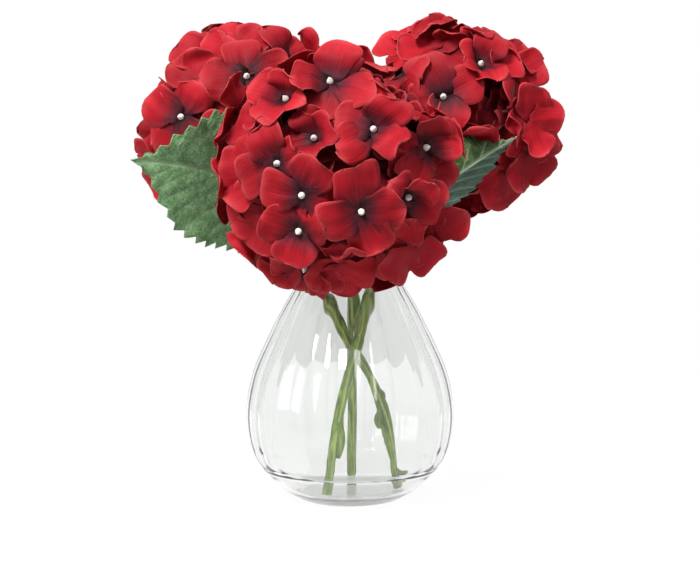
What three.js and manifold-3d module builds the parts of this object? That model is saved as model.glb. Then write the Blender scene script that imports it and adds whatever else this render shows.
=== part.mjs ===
// Three mophead hydrangeas on their stems, with leaves, standing in a fluted teardrop vase of clear glass.
// Millimetres, +Z up. The origin is the middle of the vase's foot, and the front faces -Y.

import * as THREE from 'three';
import Module from 'manifold-3d';

const wasm = await Module();
wasm.setup();

const v3 = (x, y, z) => new THREE.Vector3(x, y, z);

// Clearance between pieces that touch.
const GAP = 0.3;

// Vase: a round-bellied bottle of pressed glass, with a rounded foot and shallow upright flutes.
const VASE = {
  height: 150,
  wall: 3.2,
  flutes: 24,
  fluteDepth: 0.7,
  segmentsPerFlute: 2,
  floorHeight: 7,
  // radius and height of the outside, from the foot to the rim
  outside: [
    [32, 0], [46, 8.5], [58.5, 21], [65.5, 33], [69.7, 58], [65.3, 85],
    [56.3, 106.5], [44.5, 130], [36.5, 144], [34.5, 150],
  ],
  outsideSteps: 12,
  // radius and height of the inside's lower corner, and the heights above it where the wall is even
  insideCorner: [[36.5, 7], [43, 10.5], [50, 17.2], [59.5, 28]],
  insideTop: [38, 58, 76, 94, 112, 130, 147],
};

// Stems: round rods that swell at the joint below the blooms and end in the bloom's core.
const STEM = {
  radius: 3.2,
  jointRadius: 4.4,
  jointHeight: 126,
  jointReach: 14,
  sides: 8,
  steps: 13,
  inCore: 16,
};

// Blooms: centre, reach of the florets' middles, and the way each head faces.
const HEADS = {
  left: { centre: v3(-74, 50, 254), reach: 59, core: 40, faces: v3(-0.5, 0.31, 0.81), count: 22, seed: 11 },
  front: { centre: v3(-5, -55, 224), reach: 72, core: 52, faces: v3(-0.07, -0.6, 0.8), count: 32, seed: 23 },
  right: { centre: v3(70, 50, 255), reach: 59, core: 40, faces: v3(0.5, 0.31, 0.81), count: 22, seed: 37 },
};

// Florets placed by hand: azimuth and elevation from the head's middle and the petals' turn, in degrees,
// and for some how much further out they stand than the rest.
const PLACED = {
  left: [
    [17, 28, 20], [-25, 2, 80], [-29, 46, 35], [60, 57, 0, 7], [88, 34, 70], [-66, -42, 15, 14],
    [-62, -6, 50, 9], [-60, 30, 25], [2, -8, 80], [-100, 35, 60, -6],
  ],
  front: [
    [-9, 51, 70], [-38, 40, 35], [-16, 21, 60], [16, 23, 60], [-29, 6, 20], [-19, -8, 55], [9, -17, 13],
    [32, -8, 70], [-27, -30, 15], [-32, -52, 75, 5], [40, 13, 35], [36, -42, 50, 8], [70, -42, 80, 6],
    [62, -16, 10], [-62, -22, 40, 5], [-82, -46, 70, 3], [0, -56, 20, 4], [40, -72, 55], [-74, 6, 15],
    [-88, 32, 60], [50, 42, 5], [62, 22, 45], [22, 62, 25, -9],
  ],
  right: [
    [8, 35, 5], [-45, 27, 80], [-20, 6, 40], [-60, 57, 50, 6], [-10, 66, 10], [50, 52, 70, -3],
    [62, -4, 30, 12], [72, -34, 55, 10], [44, -62, 10], [40, 16, 45], [14, -24, 75],
  ],
};

// Floret: four broad petals in one sheet, a bead in the middle and a stalk into the core.
const FLORET = {
  radius: 29,
  thickness: 0.8,
  petals: 4,
  shoulderTurn: 25,
  shoulderReach: 0.93,
  midReach: 0.5,
  notchReach: 0.36,
  cup: 3,
  tipDrop: 2,
  wave: 2.4,
  beadRadius: 1.9,
  beadHeight: 3.4,
  stalkRadius: 1.1,
  stalkInCore: 5,
  levels: [0, 5, -5],
  towardsFront: 0.22,
  stemFree: 44,
  spacing: 0.66,
};

// Leaves: from the stem to the tip, with the side that faces the blooms or the view.
const LEAF_OUTLINE = [
  [0, 0], [0.04, 0.6], [0.13, 0.95], [0.3, 1], [0.42, 0.97], [0.55, 0.87], [0.64, 0.77], [0.72, 0.56],
  [0.8, 0.36], [0.88, 0.18], [0.94, 0.08], [1, 0],
];
const LEAF = {
  thickness: 0.8,
  toothDepth: 2.4,
  toothPoint: 0.8,
  petioleRadius: 1.7,
  petioleTipRadius: 0.8,
  petioleReach: 0.4,
  petioleSides: 4,
  petioleSteps: 6,
};
const LEAVES = {
  leaf_left: {
    root: v3(-38, 20, 176), base: v3(-34, 27, 194.6), tip: v3(-140.5, -60, 231.7),
    faces: v3(0.585, -0.778, -0.237),
    start: 14, half: 46, bow: -7.5, arch: 3, fold: 0.06, teeth: 10,
  },
  leaf_right: {
    root: v3(28, 10, 166), base: v3(34, 13, 184), tip: v3(110, -16, 244),
    faces: v3(0.084, -0.844, -0.529),
    start: 12, half: 25, bow: 3, arch: -2, fold: -0.5, teeth: 8,
  },
  leaf_low: {
    root: v3(0.5, -10, 160), base: v3(6, -18, 166), tip: v3(12, -60, 149),
    faces: v3(0.1, 0.3, 0.95),
    start: 3, half: 12, bow: 0, arch: 3, fold: -0.2, teeth: 5,
  },
  leaf_back_left: {
    root: v3(-30, 14, 160), base: v3(-34, 34, 166), tip: v3(-94, 104, 182),
    faces: v3(0.2, -0.25, 0.95),
    start: 8, half: 30, bow: 5, arch: 8, fold: -0.12, teeth: 7,
  },
  leaf_back_right: {
    root: v3(25, 7, 160), base: v3(26, 30, 166), tip: v3(58, 112, 184),
    faces: v3(-0.15, -0.25, 0.95),
    start: 8, half: 30, bow: -5, arch: 8, fold: -0.12, teeth: 7,
  },
};

// Routes of the stems through the neck, from the vase's floor up to where each enters its bloom.
const STEM_ROUTES = {
  left: [
    v3(33, 0, 8.03), v3(17, -3, 76), v3(0, -0.5, 104),
    v3(-11, 3, 126), v3(-20, 8, 144), v3(-38, 20, 176),
  ],
  front: [
    v3(1.5, 33, 7.79), v3(1.5, 24, 66), v3(1.5, 12, 104),
    v3(2.5, 3, 126), v3(1, -5, 146), v3(-1, -18, 172),
  ],
  right: [
    v3(-15, -26, 8.03), v3(-6, -16, 66), v3(4.4, -9.5, 103),
    v3(9.5, -7.5, 124), v3(15, -3, 144), v3(28, 10, 166),
  ],
};

const degrees = THREE.MathUtils.degToRad;
const lerp = THREE.MathUtils.lerp;

// The value at x of a line through the given [x, y] points.
function along(points, x) {
  const next = points.findIndex(([at]) => at >= x);
  if (next <= 0) return points[next === 0 ? 0 : points.length - 1][1];
  const [x0, y0] = points[next - 1];
  const [x1, y1] = points[next];
  return lerp(y0, y1, (x - x0) / (x1 - x0));
}

// Steady pseudo-random numbers from 0 to 1.
function seeded(seed) {
  let state = seed;
  return () => {
    state = (Math.imul(state, 1664525) + 1013904223) >>> 0;
    return state / 2 ** 32;
  };
}

// A closed solid from points and the triangles between them.
function solid(points, triangles) {
  return new wasm.Manifold(new wasm.Mesh({
    numProp: 3,
    vertProperties: new Float32Array(points.flatMap((p) => [p.x, p.y, p.z])),
    triVerts: new Uint32Array(triangles.flat()),
  }));
}

// The triangles that join ring a to ring b, each a list of point numbers of one length.
function band(a, b) {
  return a.flatMap((at, i) => {
    const j = (i + 1) % a.length;
    return [[at, a[j], b[j]], [at, b[j], b[i]]];
  });
}

const numbers = (from, count) => Array.from({ length: count }, (_, i) => from + i);

// A rod along a curve, closed at both ends; grow widens it and lengthens it by as much.
function rod(curve, radiusAt, sides, steps, grow = 0) {
  const frames = curve.computeFrenetFrames(steps, false);
  const points = [];
  const triangles = [];
  for (let step = 0; step <= steps; step += 1) {
    const middle = curve.getPointAt(step / steps);
    if (step === 0) middle.addScaledVector(frames.tangents[0], -grow);
    if (step === steps) middle.addScaledVector(frames.tangents[steps], grow);
    const radius = radiusAt(middle, step / steps) + grow;
    for (let side = 0; side < sides; side += 1) {
      const turn = (side / sides) * 2 * Math.PI;
      points.push(middle.clone()
        .addScaledVector(frames.normals[step], Math.cos(turn) * radius)
        .addScaledVector(frames.binormals[step], Math.sin(turn) * radius));
    }
    if (step > 0) triangles.push(...band(numbers((step - 1) * sides, sides), numbers(step * sides, sides)));
  }
  for (let side = 1; side < sides - 1; side += 1) {
    triangles.push([0, side + 1, side]);
    triangles.push([steps * sides, steps * sides + side, steps * sides + side + 1]);
  }
  return solid(points, triangles);
}

// Vase: the outline is turned round the axis, with its radius waved by the flutes.
const vaseOutside = new THREE.SplineCurve(VASE.outside.map(([r, z]) => new THREE.Vector2(r, z)))
  .getSpacedPoints(VASE.outsideSteps);
const outsidePoints = vaseOutside.map((p) => [p.y, p.x]);
const vaseRadius = (z) => along(outsidePoints, z);

function vaseInside() {
  return [...VASE.insideCorner, ...VASE.insideTop.map((z) => [vaseRadius(z) - VASE.wall, z])];
}

function turned(profile, bottom, top) {
  const segments = VASE.flutes * VASE.segmentsPerFlute;
  const points = [];
  profile.forEach(([radius, z]) => {
    for (let i = 0; i < segments; i += 1) {
      const turn = (i / segments) * 2 * Math.PI;
      const waved = radius + (VASE.fluteDepth / 2) * Math.cos(VASE.flutes * turn);
      points.push(v3(waved * Math.cos(turn), waved * Math.sin(turn), z));
    }
  });
  const rings = profile.map((_, i) => numbers(i * segments, segments));
  const triangles = rings.slice(1).flatMap((ring, i) => band(rings[i], ring));
  const [low, high] = [points.length, points.length + 1];
  points.push(v3(0, 0, bottom), v3(0, 0, top));
  rings[0].forEach((at, i) => triangles.push([low, rings[0][(i + 1) % segments], at]));
  const last = rings[rings.length - 1];
  last.forEach((at, i) => triangles.push([at, last[(i + 1) % segments], high]));
  return solid(points, triangles);
}

function vase() {
  const outside = vaseOutside.map((p) => [p.x, p.y]);
  const inside = vaseInside().reverse();
  return turned([...outside, ...inside], 0, VASE.floorHeight);
}

// The space that the blooms and leaves keep clear of: the vase filled in and grown by the gap.
function vaseClearance() {
  const grown = vaseOutside.map((p) => [p.x + VASE.fluteDepth / 2 + GAP, p.y]);
  grown.push([VASE.outside.at(-1)[0], VASE.height + 2 * GAP]);
  return turned(grown, 0, VASE.height + 2 * GAP);
}

// Stems.
function stemRadius(point) {
  const off = Math.abs(point.z - STEM.jointHeight) / STEM.jointReach;
  return lerp(STEM.jointRadius, STEM.radius, Math.min(1, off * off));
}

function stemCurve(name) {
  const route = STEM_ROUTES[name];
  const head = HEADS[name];
  const from = route.at(-1);
  const inwards = head.centre.clone().sub(from).normalize();
  const end = head.centre.clone().addScaledVector(inwards, STEM.inCore - head.core);
  return new THREE.CatmullRomCurve3([...route, from.clone().lerp(end, 0.55), end], false, 'centripetal');
}

const stem = (name, grow = 0) => rod(stemCurve(name), stemRadius, STEM.sides, STEM.steps, grow);

// Leaves: a toothed blade, bent and folded over its own plane, and a petiole that runs out into its rib.
function leafPlane(leaf) {
  const long = leaf.tip.clone().sub(leaf.base);
  const length = long.length();
  long.normalize();
  const up = leaf.faces.clone().addScaledVector(long, -leaf.faces.dot(long)).normalize();
  const across = up.clone().cross(long);
  return { length, long, up, across };
}

const leafRib = (leaf, share) => leaf.bow * Math.sin(Math.PI * share);

function leafHeight(leaf, share, sideways) {
  const arched = leaf.arch * Math.sin(Math.PI * share);
  return arched + leaf.fold * Math.abs(sideways);
}

// The place of a point of the blade: its share of the length, and its distance from the rib.
function leafPoint(leaf, plane, share, sideways, lift) {
  const distance = lerp(leaf.start, plane.length, share);
  return leaf.base.clone()
    .addScaledVector(plane.long, distance)
    .addScaledVector(plane.across, leafRib(leaf, share) + sideways)
    .addScaledVector(plane.up, leafHeight(leaf, share, sideways) + lift);
}

function leafBlade(leaf, grow) {
  const plane = leafPlane(leaf);
  const shares = [0];
  for (let tooth = 0; tooth < leaf.teeth; tooth += 1) {
    shares.push((tooth + LEAF.toothPoint) / leaf.teeth, (tooth + 1) / leaf.teeth);
  }
  const half = LEAF.thickness / 2 + grow;
  const points = [];
  for (const lift of [half, -half]) {
    shares.forEach((share, i) => {
      const notch = i % 2 === 0 && share < 1 ? LEAF.toothDepth : 0;
      const wide = Math.max(leaf.half * along(LEAF_OUTLINE, share) - notch, 1) + grow;
      const pastEnd = (share === 0 ? -grow : 0) + (share === 1 ? grow : 0);
      for (const side of [-1, 0, 1]) {
        points.push(leafPoint(leaf, plane, share, side * wide, lift).addScaledVector(plane.long, pastEnd));
      }
    });
  }
  const under = points.length / 2;
  const triangles = [];
  for (let i = 0; i < shares.length - 1; i += 1) {
    for (const column of [0, 1]) {
      const [a, b] = [i * 3 + column, i * 3 + column + 3];
      const left = [[a, b, a + 1], [b, b + 1, a + 1]];
      const right = [[a, b, b + 1], [a, b + 1, a + 1]];
      (column === 0 ? left : right).forEach(([p, q, r]) => {
        triangles.push([p, q, r]);
        triangles.push([r + under, q + under, p + under]);
      });
    }
  }
  const last = (shares.length - 1) * 3;
  const edge = [
    ...numbers(0, shares.length).map((i) => i * 3), last + 1,
    ...numbers(0, shares.length).map((i) => last + 2 - i * 3), 1,
  ];
  triangles.push(...band(edge.map((at) => at + under), edge));
  return solid(points, triangles);
}

function leafPetiole(leaf, grow) {
  const plane = leafPlane(leaf);
  const below = -(LEAF.thickness / 2) - LEAF.petioleTipRadius * 0.4;
  const ribPoint = (share) => leafPoint(leaf, plane, share, 0, below);
  const route = [
    leaf.root, leaf.base.clone().lerp(leaf.root, 0.35),
    ribPoint(0.02), ribPoint(LEAF.petioleReach / 2), ribPoint(LEAF.petioleReach),
  ];
  const curve = new THREE.CatmullRomCurve3(route, false, 'centripetal');
  const radiusAt = (_, share) => lerp(LEAF.petioleRadius, LEAF.petioleTipRadius, share);
  return rod(curve, radiusAt, LEAF.petioleSides, LEAF.petioleSteps, grow);
}

const leafSolid = (leaf, grow = 0) => leafBlade(leaf, grow).add(leafPetiole(leaf, grow));

const cutClear = (shape, clearances) => (
  clearances.reduce((rest, clearance) => rest.subtract(clearance), shape)
);

// Keeps a distance at least at its limit, easing in over a few millimetres.
const EASE = 3;
const atLeast = (value, limit) => limit + EASE * Math.log1p(Math.exp((value - limit) / EASE));

// Bends a point of a bloom clear of the neighbouring bloom.
function clearOfHeads(name, point) {
  const own = HEADS[name];
  const others = name === 'front' ? [HEADS.left, HEADS.right] : [HEADS.front];
  others.forEach((other) => {
    const away = own.centre.clone().sub(other.centre);
    const apart = away.length();
    away.normalize();
    const share = other.reach / (other.reach + own.reach);
    const middle = other.centre.clone().addScaledVector(away, apart * share);
    const beyond = point.clone().sub(middle).dot(away);
    if (beyond < EASE * 8) point.addScaledVector(away, atLeast(beyond, 1.2) - beyond);
  });
}

// Bends a point of a bloom clear of the leaves, to the side of each leaf that the bloom lies on.
const LEAF_MARGIN = 14;
function clearOfLeaves(name, point) {
  Object.values(LEAVES).forEach((leaf) => {
    const plane = leafPlane(leaf);
    const from = point.clone().sub(leaf.base);
    const share = (from.dot(plane.long) - leaf.start) / (plane.length - leaf.start);
    const inside = THREE.MathUtils.clamp(share, 0, 1);
    const sideways = from.dot(plane.across) - leafRib(leaf, inside);
    const pastEdge = Math.abs(sideways) - leaf.half * along(LEAF_OUTLINE, inside);
    const pastEnd = Math.abs(share - inside) * plane.length;
    const near = 1 - Math.max(pastEdge, pastEnd, 0) / LEAF_MARGIN;
    if (near <= 0) return;
    const side = Math.sign(HEADS[name].centre.clone().sub(leaf.base).dot(plane.up));
    const blade = leafHeight(leaf, inside, Math.min(Math.abs(sideways), leaf.half));
    const height = (from.dot(plane.up) - blade) * side;
    if (height > EASE * 8) return;
    const target = atLeast(height, 2.2);
    point.addScaledVector(plane.up, side * (target - height) * near);
  });
}

// Florets.
function direction(azimuth, elevation) {
  const [turn, rise] = [degrees(azimuth), degrees(elevation)];
  return v3(Math.sin(turn) * Math.cos(rise), -Math.cos(turn) * Math.cos(rise), Math.sin(rise));
}

// The directions of a head's florets: those placed by hand, then an even spiral wherever it leaves room.
function floretPlaces(name) {
  const head = HEADS[name];
  const faces = head.faces.clone().normalize();
  const random = seeded(head.seed);
  const places = PLACED[name].map(([azimuth, elevation, turn, out = 0]) => (
    { way: direction(azimuth, elevation), turn, out, placed: true }
  ));
  const apart = FLORET.spacing * Math.sqrt((4 * Math.PI) / head.count);
  const golden = Math.PI * (3 - Math.sqrt(5));
  const toFaces = new THREE.Quaternion().setFromUnitVectors(v3(0, 0, 1), faces);
  for (let i = 0; i < head.count; i += 1) {
    const height = 1 - (2 * (i + 0.5)) / head.count;
    const level = Math.sqrt(1 - height * height);
    const way = v3(level * Math.cos(i * golden), level * Math.sin(i * golden), height);
    way.applyQuaternion(toFaces);
    const turn = random() * 90;
    const free = places.every((place) => place.way.angleTo(way) > apart);
    const clearOfStem = way.angleTo(faces.clone().negate()) > degrees(FLORET.stemFree);
    if (free && clearOfStem) places.push({ way, turn, out: 0, placed: false });
  }
  return places;
}

function floret(name, place, index, random) {
  const head = HEADS[name];
  const { radius, thickness, petals, wave, cup, tipDrop } = FLORET;
  const level = place.out || FLORET.levels[index % FLORET.levels.length];
  const reach = head.reach + level + (random() - 0.5) * 2;
  const middle = head.centre.clone().addScaledVector(place.way, reach);
  const front = place.placed ? FLORET.towardsFront : 0;
  const up = place.way.clone().add(v3(0, -front, 0)).normalize();
  const east = v3(0, 0, 1).cross(up).normalize();
  const north = up.clone().cross(east);
  const at = (turn, distance, height) => {
    const angle = degrees(place.turn + turn);
    return middle.clone()
      .addScaledVector(east, Math.cos(angle) * distance)
      .addScaledVector(north, Math.sin(angle) * distance)
      .addScaledVector(up, height);
  };
  const bent = (point) => {
    clearOfHeads(name, point);
    clearOfLeaves(name, point);
    return point;
  };
  const step = 360 / petals;
  const jitter = () => (random() - 0.5) * 2 * wave;
  const inner = [];
  const mids = [];
  const rim = [];
  for (let petal = 0; petal < petals; petal += 1) {
    const turn = petal * step;
    const tilt = jitter() * 0.5;
    inner.push(at(turn - step / 2, FLORET.beadRadius, 0));
    mids.push(bent(at(turn, radius * FLORET.midReach, cup + tilt * 0.5)));
    rim.push(bent(at(turn - step / 2, radius * FLORET.notchReach, cup * 0.4)));
    const edge = tilt - tipDrop;
    const shoulder = radius * FLORET.shoulderReach;
    rim.push(bent(at(turn - FLORET.shoulderTurn, shoulder, edge + jitter())));
    rim.push(bent(at(turn, radius, edge)));
    rim.push(bent(at(turn + FLORET.shoulderTurn, shoulder, edge + jitter())));
  }
  const top = [...inner, ...mids, ...rim];
  const under = top.slice(petals).map((point) => point.clone().addScaledVector(up, -thickness));
  const neck = numbers(0, petals).map((i) => at(i * step - step / 2, FLORET.stalkRadius, -thickness));
  const footMiddle = head.centre.clone().addScaledVector(place.way, head.core - FLORET.stalkInCore);
  const foot = neck.map((point) => point.clone().sub(middle).add(footMiddle));
  const points = [...top, at(0, 0, FLORET.beadHeight), ...neck, ...under, ...foot];

  const apex = top.length;
  const neckAt = apex + 1;
  const underAt = neckAt + petals;
  const footAt = underAt + under.length;
  const triangles = [];
  const rimAt = petals * 2;
  const rimRing = numbers(rimAt, rim.length);
  const shift = underAt - petals;
  for (let petal = 0; petal < petals; petal += 1) {
    const next = (petal + 1) % petals;
    const [a, b, mid, nextMid] = [petal, next, petals + petal, petals + next];
    const first = rimAt + petal * 4;
    const notch = rimAt + next * 4;
    triangles.push([a, b, apex]);
    const face = [
      [b, a, mid], [b, mid, nextMid], [mid, first, first + 1], [mid, first + 1, first + 2],
      [mid, first + 2, first + 3], [mid, first + 3, notch], [mid, notch, nextMid],
    ];
    const below = (number) => (number < petals ? neckAt + number : number + shift);
    face.forEach(([p, q, r]) => {
      triangles.push([p, q, r]);
      triangles.push([below(r), below(q), below(p)]);
    });
  }
  triangles.push(...band(rimRing.map((number) => number + shift), rimRing));
  triangles.push(...band(numbers(footAt, petals), numbers(neckAt, petals)));
  triangles.push([footAt + 2, footAt + 1, footAt], [footAt + 3, footAt + 2, footAt]);
  return solid(points, triangles);
}

function core(head) {
  const ball = new THREE.IcosahedronGeometry(head.core, 2);
  const places = new Map();
  const points = [];
  const triangles = [];
  const position = ball.attributes.position;
  for (let i = 0; i < position.count; i += 1) {
    const point = v3(0, 0, 0).fromBufferAttribute(position, i);
    const key = point.toArray().map((value) => value.toFixed(2)).join();
    if (!places.has(key)) {
      places.set(key, points.length);
      points.push(point.add(head.centre));
    }
    if (i % 3 === 0) triangles.push([]);
    triangles.at(-1).push(places.get(key));
  }
  return solid(points, triangles);
}

function bloom(name, clearances) {
  const random = seeded(HEADS[name].seed * 7 + 1);
  const florets = floretPlaces(name).map((place, index) => floret(name, place, index, random));
  return cutClear(florets.reduce((sum, each) => sum.add(each), core(HEADS[name])), clearances);
}

// The largest closed shell of a solid: cut-off scraps and sealed pockets are left behind.
function largestShell(shape) {
  const mesh = shape.getMesh();
  const owner = Array.from({ length: mesh.numVert }, (_, i) => i);
  const find = (i) => {
    let root = i;
    while (owner[root] !== root) root = owner[root];
    owner[i] = root;
    return root;
  };
  const { triVerts, vertProperties, numProp } = mesh;
  for (let i = 0; i < triVerts.length; i += 3) {
    owner[find(triVerts[i])] = find(triVerts[i + 1]);
    owner[find(triVerts[i + 1])] = find(triVerts[i + 2]);
  }
  const corner = (i) => v3(...vertProperties.slice(triVerts[i] * numProp, triVerts[i] * numProp + 3));
  const volumes = new Map();
  for (let i = 0; i < triVerts.length; i += 3) {
    const shell = find(triVerts[i]);
    const volume = corner(i).dot(corner(i + 1).cross(corner(i + 2))) / 6;
    volumes.set(shell, (volumes.get(shell) ?? 0) + volume);
  }
  const kept = [...volumes].reduce((best, each) => (each[1] > best[1] ? each : best))[0];
  const positions = [];
  for (let i = 0; i < triVerts.length; i += 3) {
    if (find(triVerts[i]) === kept) numbers(i, 3).forEach((at) => positions.push(...corner(at).toArray()));
  }
  const geometry = new THREE.BufferGeometry();
  geometry.setAttribute('position', new THREE.Float32BufferAttribute(positions, 3));
  geometry.computeVertexNormals();
  return geometry;
}

const finish = (color, roughness, extra = {}) => (
  new THREE.MeshStandardMaterial({ color, roughness, metalness: 0, ...extra })
);
const GLASS = finish(0xe6ebe9, 0.05, { transparent: true, opacity: 0.3 });
const STALK = finish(0x6b7d33, 0.45);
const PETAL = finish(0xa81e28, 0.8);
const FOLIAGE = finish(0x4f7048, 0.75);

const bouquet = new THREE.Group();
function place(name, shape, material) {
  const mesh = new THREE.Mesh(largestShell(shape), material);
  mesh.name = name;
  bouquet.add(mesh);
}

place('vase', vase(), GLASS);
Object.keys(STEM_ROUTES).forEach((name) => place(`stem_${name}`, stem(name), STALK));

const stemClearances = Object.keys(STEM_ROUTES).map((name) => stem(name, GAP));
const leafClearances = Object.values(LEAVES).map((leaf) => leafSolid(leaf, GAP));
const aroundVase = vaseClearance();
Object.entries(LEAVES).forEach(([name, leaf]) => {
  place(name, cutClear(leafSolid(leaf), [...stemClearances, aroundVase]), FOLIAGE);
});
Object.keys(HEADS).forEach((name) => {
  place(`head_${name}`, bloom(name, [...stemClearances, ...leafClearances, aroundVase]), PETAL);
});

export default bouquet;
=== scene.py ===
"""Three fabric mophead hydrangeas in a fluted glass vase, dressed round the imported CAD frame.

Lengths are in millimetres until a mesh is made. The front faces -Y and +Z is up.
"""

import logging
import math
from collections.abc import Callable, Iterator
from dataclasses import dataclass, field, replace
from enum import Enum
from functools import partial

import bpy
import numpy as np
from mathutils import Matrix, Vector


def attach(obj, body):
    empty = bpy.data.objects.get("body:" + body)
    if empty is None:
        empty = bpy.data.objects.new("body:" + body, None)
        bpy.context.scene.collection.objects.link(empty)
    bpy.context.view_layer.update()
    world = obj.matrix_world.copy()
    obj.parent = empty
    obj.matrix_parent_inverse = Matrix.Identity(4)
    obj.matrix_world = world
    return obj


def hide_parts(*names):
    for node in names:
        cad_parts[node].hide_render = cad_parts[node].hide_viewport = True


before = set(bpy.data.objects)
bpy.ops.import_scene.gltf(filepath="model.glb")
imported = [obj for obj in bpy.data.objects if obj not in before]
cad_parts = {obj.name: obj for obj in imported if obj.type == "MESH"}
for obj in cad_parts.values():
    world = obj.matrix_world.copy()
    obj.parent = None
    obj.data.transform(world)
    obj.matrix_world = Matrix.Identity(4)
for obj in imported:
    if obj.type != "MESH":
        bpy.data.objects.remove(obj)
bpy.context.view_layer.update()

LOG = logging.getLogger("hydrangeas")
MM = 0.001
GOLDEN_TURN = math.pi * (3 - math.sqrt(5))
WHITE = (1.0, 1.0, 1.0, 1.0)
# How finely a curve is traced between two of the places that it is given by.
TRACE_STEPS = 24
# How deep the stems reach into a bloom's hidden centre.
IN_CORE = 16.0
# Where a petal is widest, as a share of its length.
PETAL_WIDEST = 0.6
# What a petal's points carry: the share along and across it, its lightness, darkened as painted shade in a
# hidden floret, and the nearness of its edge, where a painted highlight lies.
PETAL_MARKS = ("along", "across", "tone_and_shade", "edge")
# A face looks into the bloom when the cosine between it and the way out of the bloom is under this.
TURNED_IN = 0.2
# The viewer stands in front, at -Y.
TO_VIEWER = np.array([0.0, -1.0, 0.0])

Place = tuple[float, float, float] | np.ndarray
Socket = bpy.types.NodeSocket
AddNode = Callable[..., bpy.types.Node]


# Small helpers


def linear(hex_colour: str) -> tuple[float, float, float, float]:
    """Turn an sRGB hex colour into the linear colour that shaders take.

    Args:
        hex_colour: Six hex digits after a hash, such as "#a81c27".

    Returns:
        Red, green, blue and an alpha of 1.
    """
    channels = [int(hex_colour[i : i + 2], 16) / 255 for i in (1, 3, 5)]
    curve = [c / 12.92 if c <= 0.04045 else ((c + 0.055) / 1.055) ** 2.4 for c in channels]
    return (*curve, 1.0)


def unit(vector: np.ndarray) -> np.ndarray:
    """Scale vectors along the last axis to a length of one."""
    length = np.linalg.norm(vector, axis=-1, keepdims=True)
    return vector / np.maximum(length, 1e-9)


def smooth(value: np.ndarray | float, low: float, high: float) -> np.ndarray | float:
    """Ease from 0 at low to 1 at high."""
    share = np.clip((value - low) / (high - low), 0, 1)
    return share * share * (3 - 2 * share)


def excess(value: np.ndarray, ease: float) -> np.ndarray:
    """How far values are over zero, easing in over the given distance."""
    return ease * np.log1p(np.exp(np.clip(value / ease, -30, 30)))


def turns(count: int) -> np.ndarray:
    """Divide a full turn evenly, in radians."""
    return np.linspace(0, 2 * math.pi, count, endpoint=False)


def lathed(radii: np.ndarray, heights: np.ndarray, turn: np.ndarray) -> np.ndarray:
    """Turn a profile round the upright axis.

    Args:
        radii: A radius for each place of the profile, or for each place and turn.
        heights: A height for each place.
        turn: The turns in radians.

    Returns:
        Places by turns by 3 coordinates.
    """
    wide = np.broadcast_to(radii if radii.ndim == 2 else radii[:, None], (len(heights), len(turn)))
    upright = np.broadcast_to(heights[:, None], wide.shape)
    return np.stack([wide * np.cos(turn), wide * np.sin(turn), upright], axis=-1)


def seeded(seed: int) -> Iterator[float]:
    """Yield steady pseudo-random numbers from 0 to 1, the same as the part's own source draws.

    Args:
        seed: The starting number.

    Yields:
        The next number.
    """
    state = seed
    while True:
        state = (state * 1664525 + 1013904223) % 2**32
        yield state / 2**32


def rounded_route(points: list[Place], steps: int) -> np.ndarray:
    """Follow a centripetal Catmull-Rom curve through the given points, evenly spaced along it.

    Args:
        points: The places that the curve passes through.
        steps: How many equal stretches to cut it into.

    Returns:
        An array of steps + 1 places.
    """
    given = np.array(points, float)
    padded = np.vstack([2 * given[0] - given[1], given, 2 * given[-1] - given[-2]])
    traced = []
    spans = np.maximum(np.linalg.norm(np.diff(padded, axis=0), axis=1) ** 0.5, 1e-4)
    for before, start, end, after, (past, span, coming) in zip(
        padded, padded[1:], padded[2:], padded[3:], zip(spans, spans[1:], spans[2:])
    ):
        out = (start - before) / past - (end - before) / (past + span) + (end - start) / span
        into = (end - start) / span - (after - start) / (span + coming) + (after - end) / coming
        out, into = out * span, into * span
        for t in np.linspace(0, 1, TRACE_STEPS, endpoint=False):
            traced.append(
                (2 * t**3 - 3 * t**2 + 1) * start
                + (t**3 - 2 * t**2 + t) * out
                + (3 * t**2 - 2 * t**3) * end
                + (t**3 - t**2) * into
            )
    traced = np.array([*traced, given[-1]])
    walked = np.concatenate([[0], np.cumsum(np.linalg.norm(np.diff(traced, axis=0), axis=1))])
    wanted = np.linspace(0, walked[-1], steps + 1)
    return np.stack([np.interp(wanted, walked, traced[:, axis]) for axis in range(3)], axis=1)


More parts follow.
